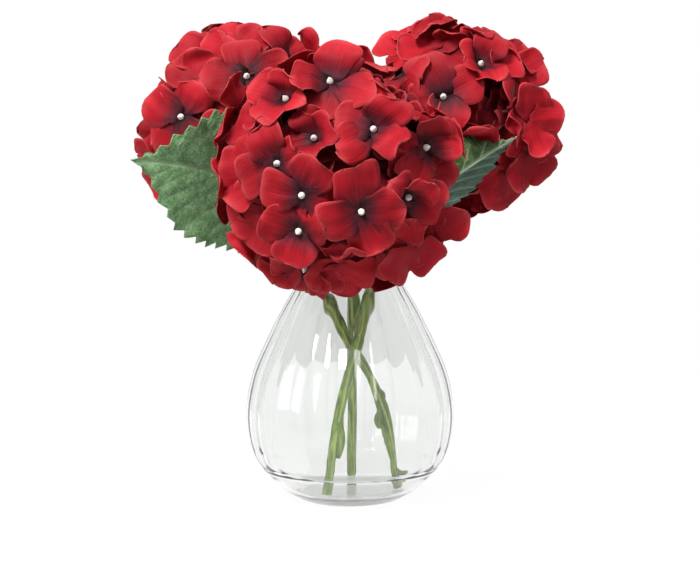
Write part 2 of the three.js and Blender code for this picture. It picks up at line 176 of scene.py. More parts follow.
@dataclass
class MeshDraft:
    """Points, faces and per-point marks, gathered before they become one Blender mesh."""

    marks: tuple[str, ...] = ()
    points: list[np.ndarray] = field(default_factory=list)
    faces: list[list[int]] = field(default_factory=list)
    values: dict[str, list[np.ndarray]] = field(default_factory=dict)
    count: int = 0

    def add(self, points: np.ndarray, faces: list[list[int]], **values: np.ndarray) -> None:
        """Add points, the faces between them, and a value of each mark for each point.

        Args:
            points: The points.
            faces: For each face, the numbers of its corners among these points.
            **values: For each mark, its value at each point.
        """
        flat = points.reshape(-1, 3)
        self.faces.extend([at + self.count for at in face] for face in faces)
        self.points.append(flat)
        for mark in self.marks:
            given = np.broadcast_to(values.get(mark, 0.0), points.shape[:-1]).reshape(-1)
            self.values.setdefault(mark, []).append(given)
        self.count += len(flat)

    def add_sheet(
        self,
        grid: np.ndarray,
        thickness: float,
        under_marks: dict[str, np.ndarray] | None = None,
        **values: np.ndarray,
    ) -> None:
        """Add a thin closed sheet round a grid of middle points.

        Args:
            grid: Rows by columns by 3 places, counter-clockwise seen from the upper side.
            thickness: How thick the sheet is.
            under_marks: Marks that differ on the sheet's underside.
            **values: A value of each mark for each place of the grid.
        """
        normal = unit(np.cross(np.gradient(grid, axis=0), np.gradient(grid, axis=1)))
        both = np.stack([grid + normal * thickness / 2, grid - normal * thickness / 2])
        at = np.arange(grid[..., 0].size).reshape(grid.shape[:2])
        upper = np.stack([at[:-1, :-1], at[1:, :-1], at[1:, 1:], at[:-1, 1:]], axis=-1).reshape(-1, 4)
        skins = np.stack([upper, upper[:, ::-1] + at.size], axis=1).reshape(-1, 4)
        rim = np.concatenate([at[:, 0], at[-1, 1:], at[-2::-1, -1], at[0, -2:0:-1]])
        after = np.roll(rim, -1)
        edge = np.stack([after, rim, rim + at.size, after + at.size], axis=-1)
        doubled = {}
        for mark, value in values.items():
            pair = (value, (under_marks or {}).get(mark, value))
            doubled[mark] = np.stack([np.broadcast_to(each, grid.shape[:2]) for each in pair])
        self.add(both, [*skins.tolist(), *edge.tolist()], **doubled)

    def add_rings(self, rings: np.ndarray, **values: np.ndarray) -> None:
        """Add a closed skin over rings of points, with a flat cap at each end.

        Args:
            rings: Rings by points by 3 places, each ring counter-clockwise seen from the last ring.
            **values: A value of each mark for each place.
        """
        at = np.arange(rings[..., 0].size).reshape(rings.shape[:2])
        beside = np.roll(at, -1, axis=1)
        skin = np.stack([at[:-1], beside[:-1], beside[1:], at[1:]], axis=-1).reshape(-1, 4)
        self.add(rings, [*skin.tolist(), at[0, ::-1].tolist(), at[-1].tolist()], **values)

    def add_rod(self, route: np.ndarray, radii: np.ndarray, sides: int, **values: np.ndarray) -> None:
        """Add a rod with the given radii along a route.

        Args:
            route: The places along its middle.
            radii: A radius for each place, or for each place and side.
            sides: How many sides it has.
            **values: A value of each mark for each place, or for each place and side.
        """

        def each_side(value: np.ndarray) -> np.ndarray:
            """Give a value to each side of each ring."""
            return np.broadcast_to(value[:, None] if np.ndim(value) == 1 else value, (len(route), sides))

        ahead = unit(np.gradient(route, axis=0))
        side_way = np.zeros_like(ahead)
        side_way[0] = unit(np.cross(ahead[0], (0.0, 1.0, 0.0)))
        for i in range(1, len(route)):
            side_way[i] = unit(side_way[i - 1] - ahead[i] * np.dot(side_way[i - 1], ahead[i]))
        up_way = np.cross(ahead, side_way)
        turn = turns(sides)[:, None]
        outwards = side_way[:, None] * np.cos(turn) + up_way[:, None] * np.sin(turn)
        rings = route[:, None] + outwards * each_side(radii)[..., None]
        self.add_rings(rings, **{mark: each_side(value) for mark, value in values.items()})

    def build(self, name: str, material: bpy.types.Material, body: str = "root") -> bpy.types.Object:
        """Make the Blender object, dress it and hang it on its body.

        Args:
            name: The piece's name.
            material: Its finish.
            body: The CAD body that it rides on.

        Returns:
            The new object.
        """
        mesh = bpy.data.meshes.new(name)
        mesh.from_pydata((np.concatenate(self.points) * MM).tolist(), [], self.faces)
        for mark in self.marks:
            layer = mesh.attributes.new(mark, "FLOAT", "POINT")
            layer.data.foreach_set("value", np.concatenate(self.values[mark]).astype(np.float32))
        mesh.shade_smooth()
        mesh.materials.append(material)
        piece = bpy.data.objects.new(name, mesh)
        bpy.context.scene.collection.objects.link(piece)
        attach(piece, body)
        LOG.info("%s: %d points, %d faces", name, len(mesh.vertices), len(mesh.polygons))
        return piece


# Shader nodes


def set_stops(ramp: bpy.types.ColorRamp, stops: list[tuple[float, str]]) -> None:
    """Lay the stops of a colour ramp.

    Args:
        ramp: The ramp.
        stops: For each stop its place from 0 to 1 and its sRGB hex colour.
    """
    while len(ramp.elements) < len(stops):
        ramp.elements.new(0.5)
    for element, (place, colour) in zip(ramp.elements, stops):
        element.position = place
        element.color = linear(colour)


def add_node(
    tree: bpy.types.NodeTree, kind: str, sockets: dict | None = None, **settings: object
) -> bpy.types.Node:
    """Add one shader node with its settings and links.

    Args:
        tree: The node tree to add it to.
        kind: The node's Blender type, without the ShaderNode that all of them start with.
        sockets: For each input, by name or number, a value or the output socket that feeds it.
        **settings: The node's own properties, and a ramp's stops.

    Returns:
        The new node.
    """
    node = tree.nodes.new("ShaderNode" + kind)
    for name, value in settings.items():
        if name == "stops":
            set_stops(node.color_ramp, value)
        else:
            setattr(node, name, value)
    for name, value in (sockets or {}).items():
        if isinstance(value, Socket):
            tree.links.new(value, node.inputs[name])
        else:
            node.inputs[name].default_value = value
    return node


def cleared(owner: bpy.types.Material | bpy.types.World) -> AddNode:
    """Clear a new material or world of nodes.

    Args:
        owner: The material or world.

    Returns:
        The function that adds a node to it.
    """
    owner.use_nodes = True
    owner.node_tree.nodes.clear()
    return partial(add_node, owner.node_tree)


def noise_scale(size: float) -> float:
    """Work out a noise texture's scale from the size of its blots in millimetres."""
    return 1 / (size * MM)


# Finishes: sizes and depths of patterns are in millimetres


@dataclass(frozen=True)
class PressedGlass:
    """Clear soda-lime glass, pressed in a fluted mould and fire-polished, with a ground underside."""

    tint: str = "#f3f4f3"
    ior: float = 1.5
    # The glass's emission is a painted glow, though the glass is no lamp.
    painted_glow: float = 0.01
    cord_size: float = 12.5
    cord_depth: float = 0.5
    ground: float = 0.5

    def make(self) -> bpy.types.Material:
        """Build the material. Faint cords in the melt bend the light a little, as in cheap pressed glass.

        Returns:
            The material.
        """
        material = bpy.data.materials.new("pressed_soda_lime_glass")
        add = cleared(material)
        place = add("TexCoord").outputs["Object"]
        # Melt cords are blots some 12 mm apart, which show only as a slight waver.
        cords = add("TexNoise", {"Vector": place, "Scale": noise_scale(self.cord_size), "Detail": 1.0})
        waver = {"Height": cords.outputs["Fac"], "Strength": 0.02, "Distance": self.cord_depth * MM}
        # The face that it stands on is ground flat, which leaves it matt and whitish.
        ground = add("Attribute", attribute_name="ground").outputs["Fac"]
        roughness = add("Math", {0: ground, 1: self.ground}, operation="MULTIPLY").outputs[0]
        clearness = add("Math", {0: ground, 1: -self.ground, 2: 1.0}, operation="MULTIPLY_ADD").outputs[0]
        glass = add(
            "BsdfPrincipled",
            {
                "Base Color": linear(self.tint),
                "Roughness": roughness,
                "IOR": self.ior,
                "Transmission Weight": clearness,
                # A faint painted glow all over the glass, so that its edges never look black.
                "Emission Color": WHITE,
                "Emission Strength": self.painted_glow,
                "Normal": add("Bump", waver).outputs["Normal"],
            },
        )
        add("OutputMaterial", {"Surface": glass.outputs["BSDF"]})
        return material


@dataclass(frozen=True)
class MouldedStem:
    """Polyethylene moulded over wire: satin green, with a painted highlight along the crest of each ridge."""

    shade: str = "#3d5410"
    body: str = "#66831d"
    pale: str = "#a8c046"
    # The seam colour is a painted highlight on the crests of the stem's ridges.
    seam: str = "#c3d872"
    crest_highlight_share: float = 0.7
    streak_width: float = 2.222
    streak_stretch: float = 0.05
    streak_depth: float = 0.4

    def make(self) -> bpy.types.Material:
        """Build the material, whose colour drifts along the stem as a leaf stalk's does.

        Returns:
            The material.
        """
        material = bpy.data.materials.new("moulded_polyethylene_stem")
        add = cleared(material)
        place = add("TexCoord").outputs["Object"]
        # Streaks 2 mm wide and some 40 mm long, as the real rind has.
        space = add("Mapping", {"Vector": place, "Scale": (1.0, 1.0, self.streak_stretch)}).outputs["Vector"]
        noise = {"Vector": space, "Scale": noise_scale(self.streak_width), "Detail": 3.0}
        streaks = add("TexNoise", noise).outputs["Fac"]
        greens = [(0.25, self.shade), (0.5, self.body), (0.8, self.pale)]
        colour = add("ValToRGB", {"Fac": streaks}, stops=greens).outputs["Color"]
        # The ridges' crests are painted paler in the seam colour: a painted highlight.
        ridge = add("Attribute", attribute_name="ridge").outputs["Fac"]
        crest_highlight_share = add("Math", {0: ridge, 1: self.crest_highlight_share}, operation="MULTIPLY").outputs[0]
        crest_highlighted = add("Mix", {"Factor": crest_highlight_share, 6: colour, 7: linear(self.seam)}, data_type="RGBA")
        relief = add("Bump", {"Height": streaks, "Strength": 0.25, "Distance": self.streak_depth * MM})
        plastic = add(
            "BsdfPrincipled",
            {
                "Base Color": crest_highlighted.outputs[2],
                "Roughness": 0.2,
                "IOR": 1.5,
                "Normal": relief.outputs["Normal"],
            },
        )
        add("OutputMaterial", {"Surface": plastic.outputs["BSDF"]})
        return material


@dataclass(frozen=True)
class SatinPetal:
    """Dyed polyester satin, cut and pressed hot: soft sheen, a dark sprayed eye, fine ribs that fan out."""

    eye: str = "#2a0f15"
    ring: str = "#521a26"
    inner: str = "#8a1724"
    body: str = "#a61522"
    lip: str = "#b41a28"
    # The rim colour is a painted highlight along the petal's cut edge.
    rim: str = "#e26466"
    sheen: str = "#ff6a60"
    let_through: float = 0.16
    spray_size: float = 6.25
    spray_wander: float = 0.3
    rib_space: tuple[float, float, float] = (12.0, 1.6, 40.0)
    rib_depth: float = 0.8
    weave_size: float = 0.7143
    weave_depth: float = 0.3

    def _dye(self, add: AddNode, marks: dict[str, Socket], place: Socket, ribs: Socket) -> Socket:
        """Colour the cloth: the sprayed eye, the darker ribs, each petal's own lightness with the painted
        shade of hidden florets, and a painted highlight at the cut edge.

        Args:
            add: The material's function that adds a node.
            marks: The petals' marks.
            place: The place on the object.
            ribs: The pattern of the ribs.

        Returns:
            The colour.
        """
        along = marks["along"]
        # The eye is sprayed by hand, so its reach wanders by a couple of millimetres.
        spray = add("TexNoise", {"Vector": place, "Scale": noise_scale(self.spray_size), "Detail": 2.0})
        drift = add("Math", {0: spray.outputs["Fac"], 1: 0.5}, operation="SUBTRACT").outputs[0]
        wander = {0: drift, 1: self.spray_wander, 2: along}
        wandering = add("Math", wander, operation="MULTIPLY_ADD").outputs[0]
        dyes = (self.eye, self.ring, self.inner, self.body, self.lip)
        stops = list(zip((0.06, 0.2, 0.42, 0.62, 0.95), dyes))
        dye = add("ValToRGB", {"Fac": wandering}, stops=stops).outputs["Color"]
        grooves = [(0.34, "#cfcfcf"), (0.55, "#ffffff")]
        rib_tone = add("ValToRGB", {"Fac": ribs}, stops=grooves).outputs["Color"]
        fading = {"Value": along, "From Min": 0.25, "From Max": 0.85, "To Min": 0.9, "To Max": 0.3}
        shaded = {"Factor": add("MapRange", fading).outputs["Result"], 6: dye, 7: rib_tone}
        ribbed = add("Mix", shaded, data_type="RGBA", blend_type="MULTIPLY").outputs[2]
        # Each petal's own lightness, which in a hidden floret is painted shade.
        own = {"Value": marks["tone_and_shade"], "From Min": 0.0, "From Max": 1.0, "To Min": 0.74, "To Max": 1.3}
        lightness = add("MapRange", own, clamp=False).outputs["Result"]
        toned = add("HueSaturation", {"Color": ribbed, "Value": lightness}).outputs["Color"]
        # The cut edge is melted and a little fuzzy. The thin pink line along it is a painted highlight.
        rim = add("Math", {0: marks["edge"], 1: 14.0}, operation="POWER").outputs[0]
        rising = {"Value": along, "From Min": 0.35, "From Max": 0.7, "To Min": 0.0, "To Max": 0.45}
        rim_highlight_reach = add("MapRange", rising).outputs["Result"]
        rim_highlight_share = add("Math", {0: rim, 1: rim_highlight_reach}, operation="MULTIPLY").outputs[0]
        return add("Mix", {"Factor": rim_highlight_share, 6: toned, 7: linear(self.rim)}, data_type="RGBA").outputs[2]

    def make(self, name: str) -> bpy.types.Material:
        """Build the material from the petals' own marks: along, across, tone and edge.

        Args:
            name: The material's name.

        Returns:
            The material.
        """
        material = bpy.data.materials.new(name)
        add = cleared(material)
        marks = {mark: add("Attribute", attribute_name=mark).outputs["Fac"] for mark in PETAL_MARKS}
        place = add("TexCoord").outputs["Object"]
        # Pressed ribs about 1 mm apart at the widest place, fanning out from the eye and fading to the lip.
        fan = add("CombineXYZ", {"X": marks["across"], "Y": marks["along"], "Z": marks["tone_and_shade"]})
        space = add("Mapping", {"Vector": fan.outputs["Vector"], "Scale": self.rib_space}).outputs["Vector"]
        ribs = add("TexNoise", {"Vector": space, "Scale": 1.0, "Detail": 2.0}).outputs["Fac"]
        colour = self._dye(add, marks, place, ribs)
        # The weave is 0.2 mm, too fine to show, so it is drawn at 0.7 mm.
        weave = add("TexNoise", {"Vector": place, "Scale": noise_scale(self.weave_size), "Detail": 1.0})
        woven = {"Height": weave.outputs["Fac"], "Strength": 0.1, "Distance": self.weave_depth * MM}
        ribbed = {"Height": ribs, "Strength": 0.4, "Distance": self.rib_depth * MM}
        relief = add("Bump", {**ribbed, "Normal": add("Bump", woven).outputs["Normal"]}).outputs["Normal"]
        cloth = add(
            "BsdfPrincipled",
            {
                "Base Color": colour,
                "Roughness": 0.6,
                "IOR": 1.4,
                "Specular IOR Level": 0.22,
                "Sheen Weight": 0.08,
                "Sheen Roughness": 0.4,
                "Sheen Tint": linear(self.sheen),
                "Normal": relief,
            },
        )
        glow = add("BsdfTranslucent", {"Color": colour, "Normal": relief})
        both = {0: self.let_through, 1: cloth.outputs["BSDF"], 2: glow.outputs["BSDF"]}
        add("OutputMaterial", {"Surface": add("MixShader", both).outputs["Shader"]})
        return material


@dataclass(frozen=True)
class PearlBead:
    """A drop of white resin set in each floret's eye: smooth, slightly waxy."""

    cream: str = "#f3ece0"
    white: str = "#fffefa"
    mottle_size: float = 1.4286
    glow_radius: tuple[float, float, float] = (0.001, 0.001, 0.0008)

    def make(self) -> bpy.types.Material:
        """Build the material, a little yellower in blots, as a cast drop is.

        Returns:
            The material.
        """
        material = bpy.data.materials.new("cast_resin_bead")
        add = cleared(material)
        place = add("TexCoord").outputs["Object"]
        mottle = add("TexNoise", {"Vector": place, "Scale": noise_scale(self.mottle_size), "Detail": 2.0})
        whites = [(0.35, self.cream), (0.65, self.white)]
        resin = add(
            "BsdfPrincipled",
            {
                "Base Color": add("ValToRGB", {"Fac": mottle.outputs["Fac"]}, stops=whites).outputs["Color"],
                "Roughness": 0.35,
                "IOR": 1.5,
                "Subsurface Weight": 0.2,
                "Subsurface Radius": self.glow_radius,
            },
        )
        add("OutputMaterial", {"Surface": resin.outputs["BSDF"]})
        return material


@dataclass(frozen=True)
class DarkStalk:
    """Polyethylene stalks inside the bloom, green at the root and dark wine red further out as painted shade,
    so that they vanish in the bloom's shade.
    """

    root: str = "#3c4a1c"
    middle: str = "#4c1d1a"
    tip: str = "#581019"
    mottle_size: float = 3.333

    def make(self) -> bpy.types.Material:
        """Build the material: greenish at the root and wine red further out, the wine red being painted
        shade.

        Returns:
            The material.
        """
        material = bpy.data.materials.new("polyethylene_stalk_painted_shade")
        add = cleared(material)
        along = add("Attribute", attribute_name="along").outputs["Fac"]
        place = add("TexCoord").outputs["Object"]
        mottle = add("TexNoise", {"Vector": place, "Scale": noise_scale(self.mottle_size)}).outputs["Fac"]
        blend = add("Math", {0: mottle, 1: 0.3, 2: along}, operation="MULTIPLY_ADD").outputs[0]
        dyes = [(0.2, self.root), (0.5, self.middle), (0.9, self.tip)]
        colour = add("ValToRGB", {"Fac": blend}, stops=dyes).outputs["Color"]
        plastic = add("BsdfPrincipled", {"Base Color": colour, "Roughness": 0.6})
        add("OutputMaterial", {"Surface": plastic.outputs["BSDF"]})
        return material


@dataclass(frozen=True)
class PressedLeaf:
    """Printed polyester crepe, pressed hot between plates: grainy face, raised quilts and sunk pale veins.

    The colours of the halves on the plus and on the minus side of the rib run from dark to light. Where the
    halves differ, the difference is painted light and shade.
    """

    # Where plus and minus differ, plus is the painted lit half and minus the painted shaded half.
    plus: tuple[str, str, str] = ("#66925c", "#88bb7d", "#a8d39b")
    minus: tuple[str, str, str] = ("#66925c", "#88bb7d", "#a8d39b")
    vein: str = "#b4d4aa"
    vein_share: float = 0.4
    blotch_size: float = 8.0
    grain_size: float = 0.9091
    grain_depth: float = 0.6
    wrinkle_size: float = 4.0
    wrinkle_depth: float = 1.4
    let_through: float = 0.15

    def _dye(self, add: AddNode, place: Socket, grain: Socket) -> Socket:
        """Colour the two halves of the blade, with painted light and shade where they differ, the crepe's
        dark grain and the pale veins.

        Args:
            add: The material's function that adds a node.
            place: The place on the object.
            grain: The pattern of the crepe's grain.

        Returns:
            The colour.
        """
        noise = {"Vector": place, "Scale": noise_scale(self.blotch_size), "Detail": 4.0}
        blotch = add("TexNoise", noise).outputs["Fac"]
        plus, minus = (
            add("ValToRGB", {"Fac": blotch}, stops=list(zip((0.3, 0.5, 0.72), dyes))).outputs["Color"]
            for dyes in (self.plus, self.minus)
        )
        # Where a leaf's halves differ, this mix paints light on one half and shade on the other.
        half = add("Attribute", attribute_name="half").outputs["Fac"]
        halves = add("Mix", {"Factor": half, 6: minus, 7: plus}, data_type="RGBA").outputs[2]
        dents = [(0.34, "#a6a6a6"), (0.62, "#ffffff")]
        speckle = add("ValToRGB", {"Fac": grain}, stops=dents).outputs["Color"]
        shaded = {"Factor": 0.9, 6: halves, 7: speckle}
        grained = add("Mix", shaded, data_type="RGBA", blend_type="MULTIPLY").outputs[2]
        vein = add("Attribute", attribute_name="vein").outputs["Fac"]
        pale = add("Math", {0: vein, 1: self.vein_share}, operation="MULTIPLY").outputs[0]
        return add("Mix", {"Factor": pale, 6: grained, 7: linear(self.vein)}, data_type="RGBA").outputs[2]

    def make(self, name: str) -> bpy.types.Material:
        """Build the material from the leaf's own marks: vein and half.

        Args:
            name: The material's name.

        Returns:
            The material.
        """
        material = bpy.data.materials.new(name)
        add = cleared(material)
        place = add("TexCoord").outputs["Object"]
        noise = {"Vector": place, "Scale": noise_scale(self.grain_size), "Detail": 2.0}
        grain = add("TexNoise", noise).outputs["Fac"]
        colour = self._dye(add, place, grain)
        # Fine wrinkles run between the veins, and the crepe's grain lies over them.
        noise = {"Vector": place, "Scale": noise_scale(self.wrinkle_size), "Detail": 2.0}
        wrinkle = add("TexNoise", noise).outputs["Fac"]
        wrinkled = add("Bump", {"Height": wrinkle, "Strength": 0.6, "Distance": self.wrinkle_depth * MM})
        grained = {"Height": grain, "Strength": 0.5, "Distance": self.grain_depth * MM}
        relief = add("Bump", {**grained, "Normal": wrinkled.outputs["Normal"]}).outputs["Normal"]
        cloth = add(
            "BsdfPrincipled",
            {
                "Base Color": colour,
                "Roughness": 0.62,
                "Specular IOR Level": 0.35,
                "Sheen Weight": 0.15,
                "Normal": relief,
            },
        )
        glow = add("BsdfTranslucent", {"Color": colour})
        both = {0: self.let_through, 1: cloth.outputs["BSDF"], 2: glow.outputs["BSDF"]}
        add("OutputMaterial", {"Surface": add("MixShader", both).outputs["Shader"]})
        return material


@dataclass(frozen=True)
class LitTable:
    """A white opal acrylic table top, lit softly from below as for catalogue pictures."""

    dark: str = "#5a5a5a"
    light: str = "#5e5e5e"
    glow: float = 0.93
    cloud_size: float = 500.0

    def make(self) -> bpy.types.Material:
        """Build the material, with the faint cloudiness of opal acrylic.

        Returns:
            The material.
        """
        material = bpy.data.materials.new("opal_acrylic_light_table")
        add = cleared(material)
        place = add("TexCoord").outputs["Object"]
        cloud = add("TexNoise", {"Vector": place, "Scale": noise_scale(self.cloud_size)}).outputs["Fac"]
        greys = [(0.3, self.dark), (0.7, self.light)]
        acrylic = add(
            "BsdfPrincipled",
            {
                "Base Color": add("ValToRGB", {"Fac": cloud}, stops=greys).outputs["Color"],
                "Roughness": 0.9,
                "Specular IOR Level": 0.05,
                "Emission Color": WHITE,
                "Emission Strength": self.glow,
            },
        )
        add("OutputMaterial", {"Surface": acrylic.outputs["BSDF"]})
        return material


# The arrangement: stems and leaves as in the part's own source, and florets set after the photograph


class Side(Enum):
    """The three blooms and their stems."""

    LEFT = "left"
    FRONT = "front"
    RIGHT = "right"


@dataclass(frozen=True)
class Head:
    """Where a bloom is and how its florets are spread.

    Each placed floret has its azimuth, its elevation and its turn in degrees, how far out it stands, and how
    far its face leans away from the viewer where it isn't the plain way out of the bloom.
    """

    centre: tuple[float, float, float]
    reach: float
    core: float
    faces: tuple[float, float, float]
    count: int
    seed: int
    placed: tuple[tuple[float, ...], ...]


HEADS = {
    Side.LEFT: Head(
        (-74, 50, 254), 59, 40, (-0.5, 0.31, 0.81), 22, 11,
        (
            (6, 30, 20, 1), (-36, 3, 20, 6), (-29, 43, 35, 1, 180), (47, 43, 0, -3), (88, 34, 70, 0, 50),
            (-63, -26, 15, 9, 180), (-62, -6, 50, -1, 180), (-29, 26, 25, 1, 180), (2, -8, 80, 0, 30),
            (-100, 35, 60, -12, 20), (-1, 52, 10, 1, 180), (-92, 4, 40, -3, 180),
        ),
    ),
    Side.FRONT: Head(
        (-5, -55, 224), 72, 52, (-0.07, -0.6, 0.8), 32, 23,
        (
            (-9, 51, 70, 3), (-38, 40, 35, 2), (-16, 21, 60, -5), (16, 23, 50, 4), (-33, 6.5, 20, 2),
            (-19, -8, 60, 3), (9, -15, 12, 7), (35, -10, 66, 1), (-23, -26, 45, 4), (-39, -58, 75, -2),
            (48, 14, 35, -1), (41, -33, 50, 9, 180), (59, -30, 80, 6, 140), (50, 5, 10, -4, 180),
            (-52, 3, 40, -3, 180), (-49, -20, 70, -2, 180), (-3, -51, 20, -2, 180), (22, -47, 55, -3, 180),
            (-52, 25, 15, -6, 180), (-86, 30, 60, 0, 40), (44, 41, 25, -9, 40), (68, 24, 45, -3, 60),
            (20, 64, 25, -11, 20), (-51, 33, 70, -3), (12, 34, 30, -7, 20), (-48, -46, 10, -2, 180),
            (14, -40, 60, -6, 40), (66, -50, 20, -6, 60), (-76, -4, 10, -2, 60), (-76, -34, 60, -4, 60),
        ),
    ),
    Side.RIGHT: Head(
        (70, 50, 255), 59, 40, (0.5, 0.31, 0.81), 22, 37,
        (
            (21, 38, 5, 1), (-42, 35, 80, -2, 20), (-8, 15, 40, 1), (-19, 50, 50, 2, 180),
            (-10, 72, 10, 0, 30), (52, 52, 70, -3, 50), (45, -1, 30, 10, 180), (51, -19, 55, 8, 180),
            (45, -35, 10, 3, 180), (39, 6, 45, -1, 40), (10, -24, 75, 0, 45), (-40, -6, 20, -8, 20),
            (47, 30, 10, 2, 180), (16, 56, 60, -2, 40), (-60, 50, 30, 1, 180),
        ),
    ),
}

# Florets set petal by petal: each one's number in its bloom's list, then its petals' angle in degrees,
# counter-clockwise from the right as seen, length, pitch in degrees towards the viewer, and cup.
SHAPED = {
    Side.LEFT: {
        0: ((98, 28, 6, -2), (183, 31, 2, -2), (6, 31, 8, 2.5), (-112, 27, -14, 0)),
        1: ((66, 27, 8, -2), (155, 31, 2, -2.5), (206, 33, 0, -1), (-60, 26, 0, 0)),
        2: ((124, 24, 4, 2), (160, 27, 20, 3), (60, 22, 0, 0), (-90, 20, -16, 0)),
        3: ((73, 29, 6, -2), (118, 28, 24, 3), (20, 22, 20, 2), (-90, 22, -10, 0)),
        5: ((200, 26, 4, 1), (240, 29, 6, -2), (160, 24, 0, 2), (-60, 24, -10, 0)),
        6: ((178, 24, 4, -2), (122, 25, 6, 2), (236, 26, 6, 2), (-40, 20, -10, 0)),
        7: ((153, 25, 10, 2), (205, 26, 0, -2), (100, 22, 6, 0), (-20, 20, -16, 0)),
        10: ((90, 26, 4, -2.5), (152, 25, 8, 2), (38, 25, 4, 2), (-90, 20, -16, 0)),
        11: ((150, 26, 4, -2), (95, 24, 4, 2), (210, 27, 2, 1), (-60, 18, -16, 0)),
    },
    Side.FRONT: {
        0: ((80, 33, 30, -2), (186, 29, 30, 1.5), (-18, 31, 8, -2.5), (-100, 27, -10, 0)),
        1: ((168, 30, 32, 3), (80, 24, 46, 2), (-22, 22, 40, 2), (-100, 27, 30, 3)),
        2: ((108, 23, 30, 2), (22, 23, 48, 2.5), (-72, 20, 40, 2), (195, 22, -8, 0)),
        3: ((58, 28, 34, 2), (160, 25, -10, -1), (206, 26, 6, -2), (-46, 24, 40, -2)),
        4: ((118, 27, 26, 2.5), (200, 31, -4, -2), (20, 20, 16, 1), (-80, 22, -12, 0)),
        5: ((60, 27, 6, -2), (174, 26, 6, -2), (236, 17, -12, 0), (-20, 25, -6, -1)),
        6: ((103, 31, 2, -2.5), (4, 27, 10, -2), (200, 27, 14, -2), (-70, 30, -2, -2.5)),
        7: ((-16, 28, 6, -2.5), (62, 22, 48, 2), (148, 21, 38, 2), (-108, 24, -20, 0)),
        8: ((30, 25, 22, 2), (-104, 25, 24, 2), (150, 27, 14, 2), (206, 22, -12, 0)),
        9: ((-112, 29, 12, 2), (-52, 23, 24, 3), (150, 24, 6, 2), (60, 18, -10, 0)),
        10: ((84, 28, 44, 3), (20, 28, 30, 4), (-122, 28, 12, -3), (178, 18, -18, 0)),
        11: ((-115, 28, 0, -1), (-36, 26, 2, -1), (98, 18, -16, 0), (170, 16, -16, 0)),
        12: ((34, 26, 6, 3), (202, 22, 6, 3), (110, 18, 0, 0), (-50, 12, -30, 0)),
        13: ((-4, 26, 6, -2), (-62, 28, 8, -2), (60, 22, 0, 0), (150, 18, -20, 0)),
        14: ((180, 29, 6, -2), (232, 29, 4, -2), (130, 26, 8, 2), (-60, 18, -20, 0)),
        15: ((200, 29, 6, -2), (246, 30, 6, -2), (160, 24, 10, 2), (-40, 18, -20, 0)),
        16: ((-78, 29, 6, -2.5), (-125, 27, 10, 3), (-34, 25, 6, -2), (90, 18, -20, 0)),
        17: ((-70, 23, 4, 2), (-20, 22, 10, 3), (-120, 22, 0, 0), (90, 16, -20, 0)),
        18: ((170, 31, 8, -2), (122, 28, 6, -2), (226, 28, 10, 2), (50, 12, -20, 0)),
        23: ((-62, 25, 36, 3), (20, 18, 52, 2), (110, 19, 44, 2), (200, 16, -10, 0)),
        25: ((190, 27, 6, -2), (228, 28, 8, 2), (-90, 24, 4, -2), (100, 18, -20, 0)),
    },
    Side.RIGHT: {
        0: ((60, 24, 26, 2), (2, 30, 4, 2), (-76, 23, 28, 1), (184, 24, 44, 2)),
        2: ((28, 28, 6, -2.5), (112, 32, 4, -2.5), (200, 28, 20, 2), (-70, 28, 10, 2)),
        3: ((110, 27, 4, -2.5), (62, 25, 6, -2), (176, 26, 10, 2), (-40, 24, -10, 0)),
        6: ((4, 28, 4, -2), (80, 26, 12, 3), (-70, 24, 10, 3), (160, 18, -16, 0)),
        7: ((-40, 28, 4, -2.5), (20, 24, 0, 2), (-95, 27, 6, -2), (140, 18, -16, 0)),
        8: ((-72, 29, 4, 2), (-128, 28, 6, -2), (0, 24, 4, 2), (90, 18, -16, 0)),
        12: ((58, 26, 4, 2), (8, 27, 6, 2.5), (112, 24, 6, 2), (-90, 20, -16, 0)),
        14: ((105, 27, 4, -2), (160, 25, 6, 2), (50, 25, 4, 2), (-90, 18, -16, 0)),
    },
}

STEM_ROUTES = {
    Side.LEFT: [
        (33, 0, 8.03), (17, -3, 76), (0, -0.5, 104), (-11, 3, 126), (-20, 8, 144), (-38, 20, 176),
    ],
    Side.FRONT: [
        (1.5, 33, 7.79), (1.5, 24, 66), (1.5, 12, 104), (2.5, 3, 126), (1, -5, 146), (-1, -18, 172),
    ],
    Side.RIGHT: [
        (-15, -26, 8.03), (-6, -16, 66), (4.4, -9.5, 103), (9.5, -7.5, 124), (15, -3, 144), (28, 10, 166),
    ],
}


@dataclass(frozen=True)
class Scar:
    """A stub or sheath on a stem: its height, its side as seen, its length down the stem and its thickness.

    A side of 1 or -1 is one flank or the other of the stem as the viewer sees it.
    """

    height: float
    side: int
    length: float
    thick: float


SCARS = {
    Side.LEFT: (Scar(58, -1, 9, 3.4), Scar(74, 1, 7, 1.6), Scar(20, 1, 8, 3.0)),
    Side.FRONT: (),
    Side.RIGHT: (Scar(52, 1, 22, 3.4), Scar(108, -1, 9, 1.8)),
}

# What the blade's half width is at shares of its length, as a share of its widest.
LEAF_OUTLINE = np.array(
    [
        (0, 0), (0.04, 0.6), (0.13, 0.95), (0.3, 1), (0.42, 0.97), (0.55, 0.87), (0.64, 0.77), (0.72, 0.56),
        (0.8, 0.36), (0.88, 0.18), (0.94, 0.08), (1, 0),
    ]
)


